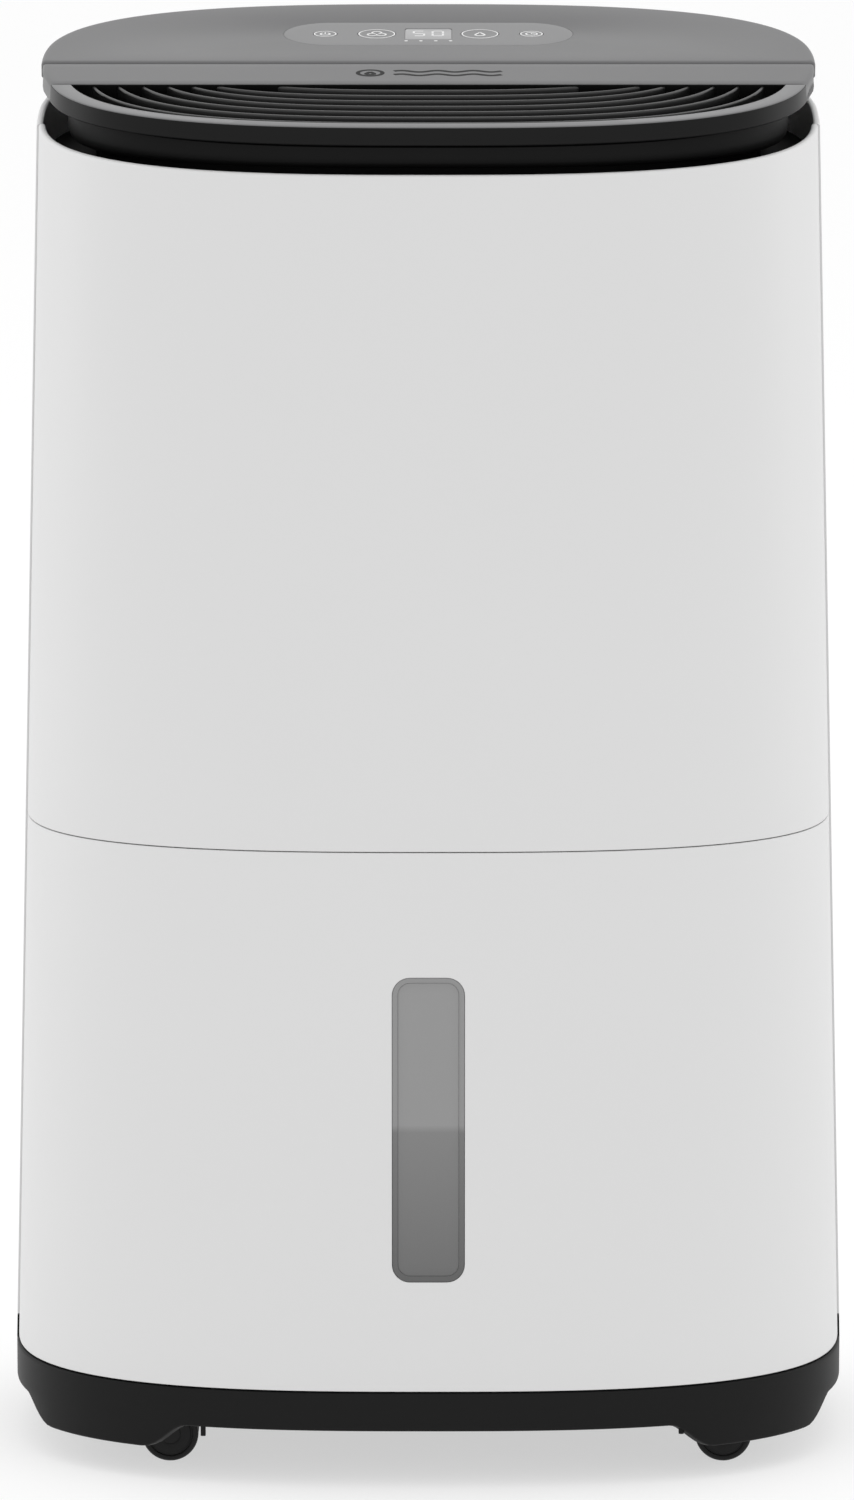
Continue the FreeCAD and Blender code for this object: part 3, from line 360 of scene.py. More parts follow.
# Sprayed metal cans: an even grey between metal and paint.
PAINTED_CAN = grained("painted_motor_can", "#8A8C8E", 0.35, 0.8, 0.006, [("Metallic", 0.6)])
print(len(bpy.data.materials), "plastics and metals so far")

# %% [markdown]
# Three finishes follow a pattern instead: the tank window, which is smoked, lighter above a set height and
# darker towards the bottom, the fin packs, which are stacks of thin aluminium sheets with painted shade
# between them, and the dust mesh, whose holes are painted dark as shade.

# %% Window, fins, mesh, circuit board and lit digits
# Height at which the window's smoke turns lighter; below it the tone darkens towards the bottom.
TONE_STEP_Z = 160.0
WINDOW_LOW, WINDOW_TALL = 92, 135


def smoked_window(name, tints):
    """Smoked polycarbonate: lighter above a set height, darker below and darker still towards the bottom,
    with a soft change between.
    """
    material, tree, shader, where = blank(name)
    height = add(tree, "ShaderNodeSeparateXYZ", links=[("Vector", where)])
    ramp = add(tree, "ShaderNodeValToRGB")
    level = add(tree, "ShaderNodeMapRange",
                [("From Min", WINDOW_LOW * MM), ("From Max", (WINDOW_LOW + WINDOW_TALL) * MM)],
                [("Value", height.outputs["Z"])])
    tree.links.new(level.outputs["Result"], ramp.inputs["Fac"])
    step_share = (TONE_STEP_Z - WINDOW_LOW) / WINDOW_TALL
    stops = ramp.color_ramp.elements
    stops[0].position, stops[0].color = 0.0, linear(tints[0])
    stops[1].position, stops[1].color = 1.0, linear(tints[3])
    for position, tint in ((step_share - 0.012, tints[1]), (step_share + 0.012, tints[2])):
        stops.new(position).color = linear(tint)
    tree.links.new(ramp.outputs["Color"], shader.inputs["Base Color"])
    ripple = add(tree, "ShaderNodeTexNoise", [("Scale", 120.0), ("Detail", 1.0)], [("Vector", where)])
    bump = add(tree, "ShaderNodeBump", [("Strength", 0.2), ("Distance", 0.02 * MM)],
               [("Height", ripple.outputs["Fac"])])
    tree.links.new(bump.outputs["Normal"], shader.inputs["Normal"])
    shader.inputs["Roughness"].default_value = 0.18
    shader.inputs["Coat Weight"].default_value = 0.3
    return material


def finned(name, tint, pitch_mm):
    """Stacked fins: a sine wave of the fin pitch along x paints shade into the gaps and lifts the edges."""
    material, tree, shader, where = blank(name)
    scale = 2 * math.pi / (20 * pitch_mm * MM)
    wave = add(tree, "ShaderNodeTexWave", [("wave_type", "BANDS"), ("bands_direction", "X"),
                                           ("Scale", scale), ("Distortion", 0.3)],
               [("Vector", where)])
    # The dark colour is painted shade in the gaps between the fins.
    shade = add(tree, "ShaderNodeMix", [("data_type", "RGBA"), (6, linear("#3A3C3E")), (7, linear(tint))],
                [(0, wave.outputs["Fac"])])
    bump = add(tree, "ShaderNodeBump", [("Strength", 0.8), ("Distance", 0.6 * MM)],
               [("Height", wave.outputs["Fac"])])
    tree.links.new(shade.outputs[2], shader.inputs["Base Color"])
    tree.links.new(bump.outputs["Normal"], shader.inputs["Normal"])
    shader.inputs["Metallic"].default_value = 0.9
    shader.inputs["Roughness"].default_value = 0.35
    return material


def woven(name, tint, pitch_mm):
    """Nylon mesh: two crossed waves, one along x and one along z, make threads with holes painted dark, as
    the shade seen through them.
    """
    material, tree, shader, where = blank(name)
    scale = 2 * math.pi / (20 * pitch_mm * MM)
    threads = [add(tree, "ShaderNodeTexWave",
                   [("wave_type", "BANDS"), ("bands_direction", way), ("Scale", scale)], [("Vector", where)])
               for way in ("X", "Z")]
    weave = add(tree, "ShaderNodeMath", [("operation", "MAXIMUM")],
                [(0, threads[0].outputs["Fac"]), (1, threads[1].outputs["Fac"])])
    # The near-black holes are painted shade, the dark seen through the mesh.
    shade = add(tree, "ShaderNodeMix", [("data_type", "RGBA"), (6, linear("#060606")), (7, linear(tint))],
                [(0, weave.outputs["Value"])])
    bump = add(tree, "ShaderNodeBump", [("Strength", 0.8), ("Distance", 0.3 * MM)],
               [("Height", weave.outputs["Value"])])
    tree.links.new(shade.outputs[2], shader.inputs["Base Color"])
    tree.links.new(bump.outputs["Normal"], shader.inputs["Normal"])
    shader.inputs["Roughness"].default_value = 0.7
    return material


def frosted(name, tint, roughness):
    """Frosted polypropylene: light goes through, scattered by a fine moulded grain."""
    return grained(name, tint, roughness, 1.0, 0.01, [("Transmission Weight", 0.75), ("IOR", 1.49)])


def glowing(name, tint, strength, settings=()):
    """A plain surface that also gives off a little white light of its own."""
    material, _, shader, _ = blank(name)
    light = [("Base Color", linear(tint)), ("Emission Color", linear("#FFFFFF")),
             ("Emission Strength", strength)]
    for key, value in light + list(settings):
        shader.inputs[key].default_value = value
    return material


# Plate and bezel turn lighter at the same height. The bezel is darker low down, painted shade in the slot's
# edge, so it outlines the slot.
WINDOW = smoked_window("smoked_polycarbonate", ("#606060", "#787878", "#8B8B8B", "#8D8D8D"))
SHADED_BEZEL = smoked_window("smoked_polycarbonate_edge_painted_shade", ("#545454", "#6C6C6C", "#888888", "#8A8A8A"))
# Pressed aluminium fins, drawn at 1.6 mm apart: coarse enough to show as stripes; the dark stripes are
# painted shade between the fins.
FINS = finned("aluminium_fins_painted_gap_shade", "#C9CCCE", 1.6)
# Woven nylon, drawn with a thread every 1.5 mm, because a finer weave would not show; its holes are painted
# dark as shade.
NYLON_MESH = woven("nylon_mesh_painted_hole_shade", "#3A3B3D", 1.5)
# Frosted polypropylene lets light in and blurs it, so the tub looks pale and soft.
TUB_PP = frosted("frosted_tank_polypropylene", "#D5DADD", 0.35)
# Lacquered glass laminate: green, with blotches as of copper below.
BOARD = grained("green_circuit_laminate", "#1F4A33", 0.4, 3.0, 0.05, tone=0.25)
# Lit segments give off a little light, so the figures stay readable on the milky window.
LIT = glowing("white_light_segments", "#B0B0B0", 0.28)
print("window turns lighter at", TONE_STEP_Z, "mm")

# %% [markdown]
# ## The white case
# The wall is a closed profile, up the outside, over a small round at the rim and down the inside,
# carried along the outline. Each half stops at the vertical seam, which is a plane, so every height
# gets its own start and end angle. Cutting a whole ring with a boolean would leave long thin faces.

# %% Walls carried along part of the outline
FIRST_TOP = 600.0
SETTLING_ROUNDS = 4


def wall_profile(thick, low, high):
    """(inset, along, lift) round a wall: along runs 0 to 1 up its height, lift is added in millimetres.

    low and high are the radii of the small rounds at its foot and top."""
    quarter = np.linspace(0, math.pi / 2, 5)
    outer = [(0.0, t, 0.0) for t in np.linspace(0, 1, 14)[1:-1]]
    top_out = [(high * (1 - math.cos(a)), 1.0, high * (math.sin(a) - 1)) for a in quarter]
    top_in = [(thick - high * (1 - math.sin(a)), 1.0, high * (math.cos(a) - 1)) for a in quarter]
    inner = [(thick, t, 0.0) for t in np.linspace(1, 0, 8)[1:-1]]
    bottom_in = [(thick - low * (1 - math.cos(a)), 0.0, low * (1 - math.sin(a))) for a in quarter]
    bottom_out = [(low * (1 - math.sin(a)), 0.0, low * (1 - math.cos(a))) for a in quarter]
    return np.array(outer + top_out + top_in + inner + bottom_in + bottom_out)


def wall_rings(profile, low, high, share, start_y, front):
    """Carry a wall profile along the front or rear part of the leaning outline.

    share runs 0 to 1 along the wall. high is a height or a function of y; a few rounds settle it,
    because the inset depends on height and the sloping rim's height depends on y."""
    inset, along, lift = [profile[:, k][None, :] for k in range(3)]
    share = share[:, None]
    z = low + along * (FIRST_TOP - low) + lift + 0 * share
    for _ in range(SETTLING_ROUNDS):
        a = HALF_WIDTH - inset - inset_at(z) - (FRONT_STEP if front else 0.0)
        b = HALF_DEPTH - inset - inset_at(z)
        edge = np.arctan2(abs(start_y), a)
        front_turn, rear_turn = math.pi - 2 * edge, math.pi + 2 * edge
        theta = math.pi + edge + share * front_turn if front else share * rear_turn - edge
        x, y = squircle(theta, a, b)
        top = high(y) if callable(high) else high
        z = low + along * (top - low) + lift + 0 * x
    return np.stack([x, y, z], -1)


share = np.linspace(0, 1, 181)
case_wall = wall_profile(WALL, 0.4, 1.2)
front_rings = wall_rings(case_wall, TANK_SEAM, rim_height, share, SPLIT_Y - SEAM_GAP / 2, True)
# A tongue reaches down behind the tank's top edge, so that the seam has a white ground.
tongue_wall = wall_profile(1.6, 0.3, 0.3) + np.array([WALL + 0.4, 0, 0])
tongue_rings = wall_rings(tongue_wall, TANK_SEAM - 3.0, TANK_SEAM + 12.0, share,
                          SPLIT_Y - SEAM_GAP / 2 - 1.0, True)
front_cover = make("front_cover", [skin(front_rings), skin(tongue_rings)], "cabinet", WHITE_ABS,
                   "white_shell", "front_housing")
print("front cover", len(front_cover.data.polygons), "faces")

# %% [markdown]
# ### The rear casing
# It is the same wall carried round the back. The openings for the intake, the drain and the mains
# socket are cut straight through it.

# %% The rear casing, with openings for the intake, drain and mains socket


def back_face(x, z, depth):
    """A point on the case's back at x and z, sunk inwards by depth: y = b (1 - |x/a|^n)^(1/n) - depth."""
    a = HALF_WIDTH - inset_at(z)
    b = HALF_DEPTH - inset_at(z)
    return np.stack([x, b * (1 - np.abs(x / a) ** SQUARENESS) ** (1 / SQUARENESS) - depth, z], -1)


def front_face(x, z, depth):
    """The same on the front, where inwards is +y."""
    point = back_face(x, z, depth)
    point[..., 1] *= -1
    return point


grille_low, grille_high = node_box("filter_frame")
grille_half = (grille_high[0] - grille_low[0]) / 2
grille_mid = (grille_low[2] + grille_high[2]) / 2
grille_tall = (grille_high[2] - grille_low[2]) / 2
plug_low, plug_high = node_box("drain_plug")
plug_z = (plug_low[2] + plug_high[2]) / 2
socket_low, socket_high = node_box("power_inlet")
socket_mid = (socket_low + socket_high) / 2


def back_cutter(name, half_width, half_height, radius, centre_x, centre_z):
    """A rounded bar that passes straight through the back wall."""
    outline = rounded_rectangle(half_width, half_height, radius) + (centre_x, centre_z)
    return mesh_object(name, [prism(outline, (60, 140), 1)])


LIP_TOP = 52.0
rear_rings = wall_rings(case_wall, LIP_TOP + 0.5, rim_height, np.linspace(0, 1, 241), SPLIT_Y, False)
rear_casing = mesh_object("rear_casing", [skin(rear_rings)])
carve(rear_casing, [
    back_cutter("intake_cut", grille_half + 0.3, grille_tall + 0.3, 7, 0, grille_mid),
    back_cutter("drain_cut", 11.3, 11.3, 11.29, 0, plug_z),
    back_cutter("socket_cut", 15.1, 12.1, 2, socket_mid[0], socket_mid[2]),
])
settle(rear_casing, "cabinet", WHITE_ABS, "white_shell", "rear_housing")
print("rear casing", len(rear_casing.data.polygons), "faces, three openings")

# %% [markdown]
# ## The tank front and its window
# The tank's face is the same wall below the seam. The window is a tall slot with a softened edge, cut
# by a solid that follows the leaning face. A smoked bezel lines the slot and frames the smoked plate;
# its smoke is painted darker than the plate's, as shade in the slot's edge.

# %% Tank front, window slot, bezel and plate
glass_low, glass_high = node_box("tank_window")
window_mid = (glass_low[2] + glass_high[2]) / 2
window_half = np.array([(glass_high[0] - glass_low[0]) / 2 + 0.1, (glass_high[2] - glass_low[2]) / 2 + 0.1])
WINDOW_RADIUS = 7.9
BEZEL_WIDE = 2.6


def on_front(u, v, depth):
    """A point on the front wall, with v counted from the window's middle."""
    return front_face(u, v + window_mid, depth)


def window_outline(grow):
    """The window's slot, grown or shrunk."""
    return rounded_rectangle(window_half[0] + grow, window_half[1] + grow, max(WINDOW_RADIUS + grow, 0.12))


tank_rings = wall_rings(wall_profile(WALL, 0.5, 0.4), BASE_TOP + 0.7, TANK_SEAM - 0.45, share,
                        SPLIT_Y - SEAM_GAP / 2, True)
tank_shell = mesh_object("tank_shell", [skin(tank_rings)])
slot_rings = layered(window_outline, [(0.9, -0.9), (0, 0.1), (0, 12)], on_front)
carve(tank_shell, [mesh_object("window_cut", [skin(slot_rings)])])
settle(tank_shell, "tank", WHITE_ABS, "white_shell", "tank_front")
bezel_levels = [(-0.1, 3.4), (-0.1, 0.55), (-0.4, 0.3), (-BEZEL_WIDE + 0.5, 0.95), (-BEZEL_WIDE, 1.3),
                (-BEZEL_WIDE, 3.4)]
# The bezel's darker smoke is painted shade in the slot's edge.
make("window_bezel", [skin(layered(window_outline, bezel_levels, on_front), joined=True)], "tank", SHADED_BEZEL,
     "clear_tank")
plate_levels = [(-15.6, 1.05), (-12, 1.05), (-8, 1.05), (-BEZEL_WIDE - 0.7, 1.05),
                (-BEZEL_WIDE - 0.1, 1.35), (-BEZEL_WIDE - 0.1, 3.3), (-8, 3.4), (-15.6, 3.4)]
plate_rings = layered(window_outline, plate_levels, on_front)
make("tank_glass", [skin(plate_rings)], "tank", WINDOW, "clear_tank", "tank_window")
# Two upright ribs join the shell to the tub behind it.
tub_low = node_box("tank_tub")[0]
rib_skins = []
for rib_x in (-100.0, 100.0):
    rib_y = front_face(np.array(rib_x), np.array(150.0), WALL)[1]
    rib = rounded_rectangle(2.0, (tub_low[1] - rib_y) / 2, 0.8) + (rib_x, (tub_low[1] + rib_y) / 2)
    rib_skins.append(prism(rib, (60.0, 240.0)))
make("tank_ribs", rib_skins, "tank", WHITE_ABS, "white_shell")
print("window slot", (2 * window_half).round(1).tolist(), "mm, bezel", BEZEL_WIDE, "mm wide")

# %% [markdown]
# ## The base
# A low black tray with four skirts that reach down beside the castors. The skirt's lower edge is a
# smooth step: a smoothstep of the distance along the front and along the side, whichever is clear.

# %% Base tray with stepped skirts


def smoothstep(value, low, high):
    """0 below low, 1 above high, and 3t^2 - 2t^3 between."""
    t = np.clip((value - low) / (high - low), 0, 1)
    return t * t * (3 - 2 * t)


SKIRT_BOTTOM = base_low[2]
theta = np.linspace(0, 2 * math.pi, 360, endpoint=False)
rim_x, rim_y = squircle(theta, HALF_WIDTH, HALF_DEPTH)
corner = smoothstep(np.abs(rim_x), 107, 126) * (1 - smoothstep(-np.abs(rim_y), -74, -52))
skirt_edge = BASE_BOTTOM - 0.5 - (BASE_BOTTOM - 0.5 - SKIRT_BOTTOM) * corner
quarter_turns = np.linspace(0, math.pi / 2, 5)
base_levels = [(60.0, None, BASE_BOTTOM), (5.2, None, BASE_BOTTOM), (4.6, 0.6, None), (4.0, 0.0, None)]
base_levels += [(1.2 * (1 - math.sin(a)), 1.2 * (1 - math.cos(a)), None) for a in quarter_turns]
base_levels += [(0.0, None, z) for z in (29.0, 33.0, 37.0, 40.5)]
base_levels += [(1.0 * (1 - math.cos(a)), None, BASE_TOP - 1 + math.sin(a)) for a in quarter_turns]
base_levels += [(3.0, None, BASE_TOP), (3.2, None, BASE_TOP - 0.3), (3.2, None, 37.0), (60.0, None, 37.0)]
base_rings = []
for inset, rise, height in base_levels:
    x, y = squircle(theta, HALF_WIDTH - inset, HALF_DEPTH - inset)
    z = skirt_edge + rise if height is None else np.full(len(theta), height)
    base_rings.append(np.stack([x, y, z], -1))
base_shell = mesh_object("base_shell", [skin(base_rings)])
CASTORS = ("front_left", "front_right", "rear_left", "rear_right")
stems = {}
for place in CASTORS:
    fork_low, fork_high = node_box(f"castor_fork_{place}")
    stems[place] = np.array([fork_low[0] + 11.0, (fork_low[1] + fork_high[1]) / 2])
# Each castor swings in a round well, whose roof has a hole for its stem.
WELL_RADIUS, WELL_ROOF, STEM_HOLE = 26.6, 31.7, 3.2
well = [(WELL_RADIUS, 20.0), (WELL_RADIUS, WELL_ROOF - 0.7), (WELL_RADIUS - 0.6, WELL_ROOF),
        (STEM_HOLE, WELL_ROOF), (STEM_HOLE, 60.0)]
wells = []
for place, (x, y) in stems.items():
    wells.append(mesh_object("well", [skin(revolved(well, (x, y, 0), 2, 56))]))
carve(base_shell, wells)
settle(base_shell, "cabinet", BASE_PP, "black_plastic", "base_tray")
lip_rings = wall_rings(wall_profile(WALL, 0.1, 0.4), BASE_TOP - 0.9, LIP_TOP,
                       np.linspace(0, 1, 121), SPLIT_Y, False)
make("base_lip", [skin(lip_rings)], "cabinet", BASE_PP, "black_plastic")
# A short peg hangs from the base beside each front castor.
stops = []
for stop_x in (-98.8, 111.0):
    stop_y = 4.0 - HALF_DEPTH * (1 - abs(stop_x / HALF_WIDTH) ** SQUARENESS) ** (1 / SQUARENESS)
    stops.append(prism(rounded_rectangle(1.1, 2.5, 0.8, 5) + (stop_x, stop_y), (20.9, 27.0)))
make("castor_stops", stops, "cabinet", BASE_PP, "black_plastic")
print("castor stems", {place: xy.round(1).tolist() for place, xy in stems.items()})

# %% [markdown]
# ## Castors
# Each one is a twin wheel on a steel axle with a nylon web between the discs. Wheels are turned
# shapes: a closed half-section with hub, groove and tyre, revolved about the axle.

# %% Forks and wheels


def hull_of_discs(discs, count=72):
    """The outline round several discs: in each direction the disc that reaches furthest gives the point."""
    discs = np.asarray(discs, float)
    turn = np.linspace(0, 2 * math.pi, count, endpoint=False)
    ahead = np.stack([np.cos(turn), np.sin(turn)], -1)
    best = np.argmax(ahead @ discs[:, :2].T + discs[:, 2], axis=1)
    return discs[best, :2] + discs[best, 2:] * ahead


# Half a wheel's section as (radius, half thickness): hub, disc, groove and tyre.
WHEEL_SECTION = [(1.6, 2.4), (4.3, 2.4), (4.5, 2.9), (4.9, 3.1), (8.9, 2.9), (9.1, 2.3), (9.9, 2.3),
                 (10.1, 2.9), (10.6, 3.2), (11.5, 3.2), (12.2, 2.7), (12.5, 1.9), (12.5, 0.0)]
WHEEL_OFFSET = 5.15
mirror_section = [(radius, -along) for radius, along in WHEEL_SECTION[-2::-1]]
wheel_profile = WHEEL_SECTION + mirror_section
for place, (x, y) in stems.items():
    axle_low, axle_high = node_box(f"castor_axle_{place}")
    hub = (axle_low + axle_high) / 2
    wheels = []
    for side in (-1, 1):
        centre = (hub[0], hub[1] + side * WHEEL_OFFSET, hub[2])
        wheels.append(skin(revolved(wheel_profile, centre, 1, 56), joined=True))
        cap = [(4.4, side * 7.85), (4.4, side * 8.25), (3.8, side * 8.4), (0.3, side * 8.45)]
        wheels.append(skin(revolved(cap, hub, 1, 32)))
    make(f"castor_discs_{place}", wheels, f"wheels_{place}", TREAD_RUBBER, "castor_tread",
         f"castor_wheels_{place}")
    web = hull_of_discs([(hub[0], hub[2], 4.6), (x - 1.5, 23.5, 3.4), (x + 9.5, 23.8, 3.2)])
    stem = revolved([(2.9, 24.5), (2.9, 40.0), (2.4, 40.6)], (x, y, 0), 2, 32)
    flange = revolved([(9.8, 25.7), (10.8, 26.1), (11.0, 26.8), (11.0, 28.4), (10.4, 29.0), (3.5, 29.0)],
                      (x, y, 0), 2, 48)
    make(f"castor_web_{place}", [prism(web, (hub[1] - 1.5, hub[1] + 1.5), 1), skin(stem), skin(flange)],
         f"castor_{place}", CASTOR_NYLON, "black_plastic", f"castor_fork_{place}")
print("wheel radius", max(radius for radius, along in wheel_profile), "mm")

# %% [markdown]
# ## Trough and neck
# Under the floating lid a black trough runs round inside the white rim. The neck rises from it: in
# front it is the air duct, at the back it carries the lid. Its lower edge turns in like the side of a
# shallow pan, which leaves a dark gap over the trough. It is one closed ring of a bent profile.

# %% Black trough floor and neck
NECK_HALF = 158.0
NECK_FRONT, NECK_BACK = -107.5, 100.0
neck_mid = (NECK_FRONT + NECK_BACK) / 2
neck_depth = (NECK_BACK - NECK_FRONT) / 2
TROUGH = 20.0
PAN_EDGE, PAN_SLOPE = 583.0, 0.055


def neck_ring(inset, height):
    """The neck's outline drawn in by inset; height is a function of y."""
    x, y = squircle(theta, NECK_HALF - inset, neck_depth - inset)
    y = y + neck_mid
    return np.stack([x, y, height(y)], -1)


def floor_ring(inset, drop):
    """A ring on the trough floor that follows the inside of the white wall."""
    z = rim_height(0) - TROUGH
    x, y = squircle(theta, HALF_WIDTH - inset_at(z) - inset, HALF_DEPTH - inset_at(z) - inset)
    return np.stack([x, y, rim_height(y) - TROUGH - drop], -1)


def under_lid(clearance):
    """Height of a plane parallel to the lid's underside, lower by clearance."""
    fall = (LID_THICK + clearance) / math.cos(LID_ANGLE)
    return lambda y: LID_MIDDLE + math.tan(LID_ANGLE) * y - fall


def trough_floor(drop):
    """Height of the trough's floor, which is parallel to the rim, lower by drop."""
    return lambda y: rim_height(y) - TROUGH - drop


def pan_edge(lift):
    """Height of the pan's lower edge, which slopes less than the rim does."""
    return lambda y: PAN_EDGE + PAN_SLOPE * y + lift


neck_rings = [
    floor_ring(WALL + 0.3, 2.2), floor_ring(WALL + 0.3, 0.3), floor_ring(WALL + 0.7, 0.0),
    neck_ring(12.0, trough_floor(0.0)), neck_ring(13.6, trough_floor(-0.5)), neck_ring(14.0, pan_edge(0.3)),
    neck_ring(7.0, pan_edge(0.0)), neck_ring(4.0, pan_edge(0.5)), neck_ring(1.8, pan_edge(1.6)),
    neck_ring(0.6, pan_edge(3.2)), neck_ring(0.0, pan_edge(6.0)), neck_ring(0.0, under_lid(4.0)),
    neck_ring(0.0, under_lid(1.1)), neck_ring(0.4, under_lid(0.75)), neck_ring(2.1, under_lid(0.75)),
    neck_ring(2.5, under_lid(1.1)), neck_ring(2.5, pan_edge(6.0)), neck_ring(16.5, pan_edge(2.6)),
    neck_ring(16.5, trough_floor(2.2)),
]
make("trough_and_neck", [skin(neck_rings, joined=True)], "cabinet", TROUGH_ABS, "black_plastic", "top_deck")

# A dark baffle closes the view into the machine behind the strip, as the duct's back wall does.
duct_skins = [prism(rounded_rectangle(146, 1.25, 1.2, 5) + (0, -7.5), (549, 600.5))]
# Two plates beside the fan's mouth make the duct's floor, so the white casing can't be seen from above.
scroll_top = node_box("fan_scroll")[1][2]
right_start = 2 * math.pi - math.acos(92.5 / 160)
for start, stop in ((math.pi + 0.05, 1.5 * math.pi), (right_start, 2 * math.pi - 0.05)):
    arc_x, arc_y = squircle(np.linspace(start, stop, 24), 163.0, 103.0)
    edge = np.column_stack([np.append(arc_x, [arc_x[-1], arc_x[0]]), np.append(arc_y, [-8.0, -8.0])])
    duct_skins.append(prism(edge, (scroll_top + 1.0, scroll_top + 2.5)))
make("duct_back_wall", duct_skins, "cabinet", TROUGH_ABS, "black_plastic")
print("neck", 2 * NECK_HALF, "x", 2 * neck_depth, "mm, trough", TROUGH, "mm below the rim")

# %% [markdown]
# ## The lid
# A slab on a slope: a bowed back edge and a straight front edge along the hinge groove. Seen from the
# key panel's centre both edges are star-shaped, so rings at the same angles run from the underside
# round the edge and in to the panel's seat, and no face has to be filled by hand.

# %% Lid slab
LID_HALF, LID_DEPTH, LID_CENTRE_Y = 170.6, 110.3, 5.0
HINGE_Y = 0.61
GROOVE_Y = HINGE_Y + LID_THICK / 2 + 0.6
PANEL_Y = 57.5 * math.cos(LID_ANGLE)
corner_angle = math.atan2(GROOVE_Y - PANEL_Y, LID_HALF)
fine = np.linspace(-0.05, 0.05, 21)
spokes = np.unique(np.concatenate([np.linspace(-math.pi, math.pi, 361)[:-1], corner_angle + fine,
                                   -math.pi - corner_angle + fine]))


def lid_edge(inset):
    """Distance from the panel's centre to the lid's edge: the nearer of bowed edge and straight edge."""
    near, far = np.zeros(len(spokes)), np.full(len(spokes), 400.0)
    for _ in range(40):
        middle = (near + far) / 2
        x = middle * np.cos(spokes) / (LID_HALF - inset)
        y = (PANEL_Y + middle * np.sin(spokes) - LID_CENTRE_Y) / (LID_DEPTH - inset)
        outside = np.abs(x) ** SQUARENESS + np.abs(y) ** SQUARENESS > 1
        near, far = np.where(outside, near, middle), np.where(outside, middle, far)
    straight = (GROOVE_Y + inset - PANEL_Y) / np.minimum(np.sin(spokes), -1e-4)
    straight = np.where(np.sin(spokes) < 0, straight, 1e4)
    return (near ** -70 + straight ** -70) ** (-1 / 70)


def pill(half_length, half_width):
    """Distance from the centre to the edge of a pill: a straight side or a round end."""
    cos, sin = np.abs(np.cos(spokes)), np.abs(np.sin(spokes))
    reach = half_length - half_width
    side = half_width / np.maximum(sin, 1e-6)
    end = reach * cos + np.sqrt(np.maximum(half_width ** 2 - (reach * sin) ** 2, 0))
    return np.where(side * cos < reach, side, end)


def lid_ring(radius, rise):
    """A ring round the panel's centre at a radius for each spoke."""
    return on_lid(radius * np.cos(spokes), PANEL_Y + radius * np.sin(spokes), rise)


PANEL_HALF = 64.5
PANEL_WIDE = 21.25 * math.cos(LID_ANGLE)
lid_levels = [(1.8, -LID_THICK), (0.5, -LID_THICK + 0.4), (0.0, -LID_THICK + 1.2), (0.0, -2.2), (0.18, -1.3),
              (0.65, -0.6), (1.4, -0.15), (2.3, 0.0), (4.0, 0.0)]
lid_rings = [lid_ring(pill(PANEL_HALF - 6, PANEL_WIDE - 6), -LID_THICK)]
lid_rings += [lid_ring(lid_edge(inset), rise) for inset, rise in lid_levels]
lid_rings += [lid_ring(pill(PANEL_HALF + grow, PANEL_WIDE + grow), rise)
              for grow, rise in ((0.3, 0.0), (0.1, -0.1), (0.1, -2.1), (-5, -2.1))]
make("lid_slab", [skin(lid_rings)], "cabinet", CHARCOAL_ABS, "grey_lid", "lid")
print("lid", round(2 * LID_HALF, 1), "mm wide, groove at y", round(GROOVE_Y, 2))

# %% [markdown]
# ## Panel, keys and display
# The panel is a pill-shaped plate in the lid, cut for four round keys and the display. The keys
# really move, so each is its own piece with a printed ring and a plain symbol on top.

# %% Panel plate and keys
KEYS = {"key_power": -46, "key_fan": -23, "key_humidity": 23, "key_timer": 46}
key_radius = {name: (node_box(name)[1][0] - node_box(name)[0][0]) / 2 for name in KEYS}
panel_rings = [lid_ring(pill(PANEL_HALF - grow, PANEL_WIDE - grow), rise)
               for grow, rise in ((6, -1.9), (0.0, -1.9), (0.0, -0.15), (0.15, -0.02), (0.5, 0.0), (6, 0.0))]
panel_plate = mesh_object("panel_plate", [skin(panel_rings)])


def lid_turned(profile, x, count=48):
    """A turned shape whose axis is the lid's normal, centred at x on the panel's line."""
    profile = np.asarray(profile, float)
    turn = np.linspace(0, 2 * math.pi, count, endpoint=False)
    u = profile[:, :1] * np.cos(turn) + x
    v = profile[:, :1] * np.sin(turn) * math.cos(LID_ANGLE) + PANEL_Y
    return on_lid(u, v, profile[:, 1:] + 0 * turn)


def lid_plate(outline, levels, centre_x=0.0, centre_y=PANEL_Y):
    """A flat plate on the lid: an (u, v) outline stacked through (grow, rise) levels."""
    return layered(outline, levels,
                   lambda u, v, rise: on_lid(u + centre_x, v * math.cos(LID_ANGLE) + centre_y, rise))


def lid_block(outline, low, high, centre_x=0.0, centre_y=PANEL_Y):
    """A straight-sided block on the lid between two rises."""
    return skin(lid_plate(lambda grow: outline, [(0, low), (0, high)], centre_x, centre_y))


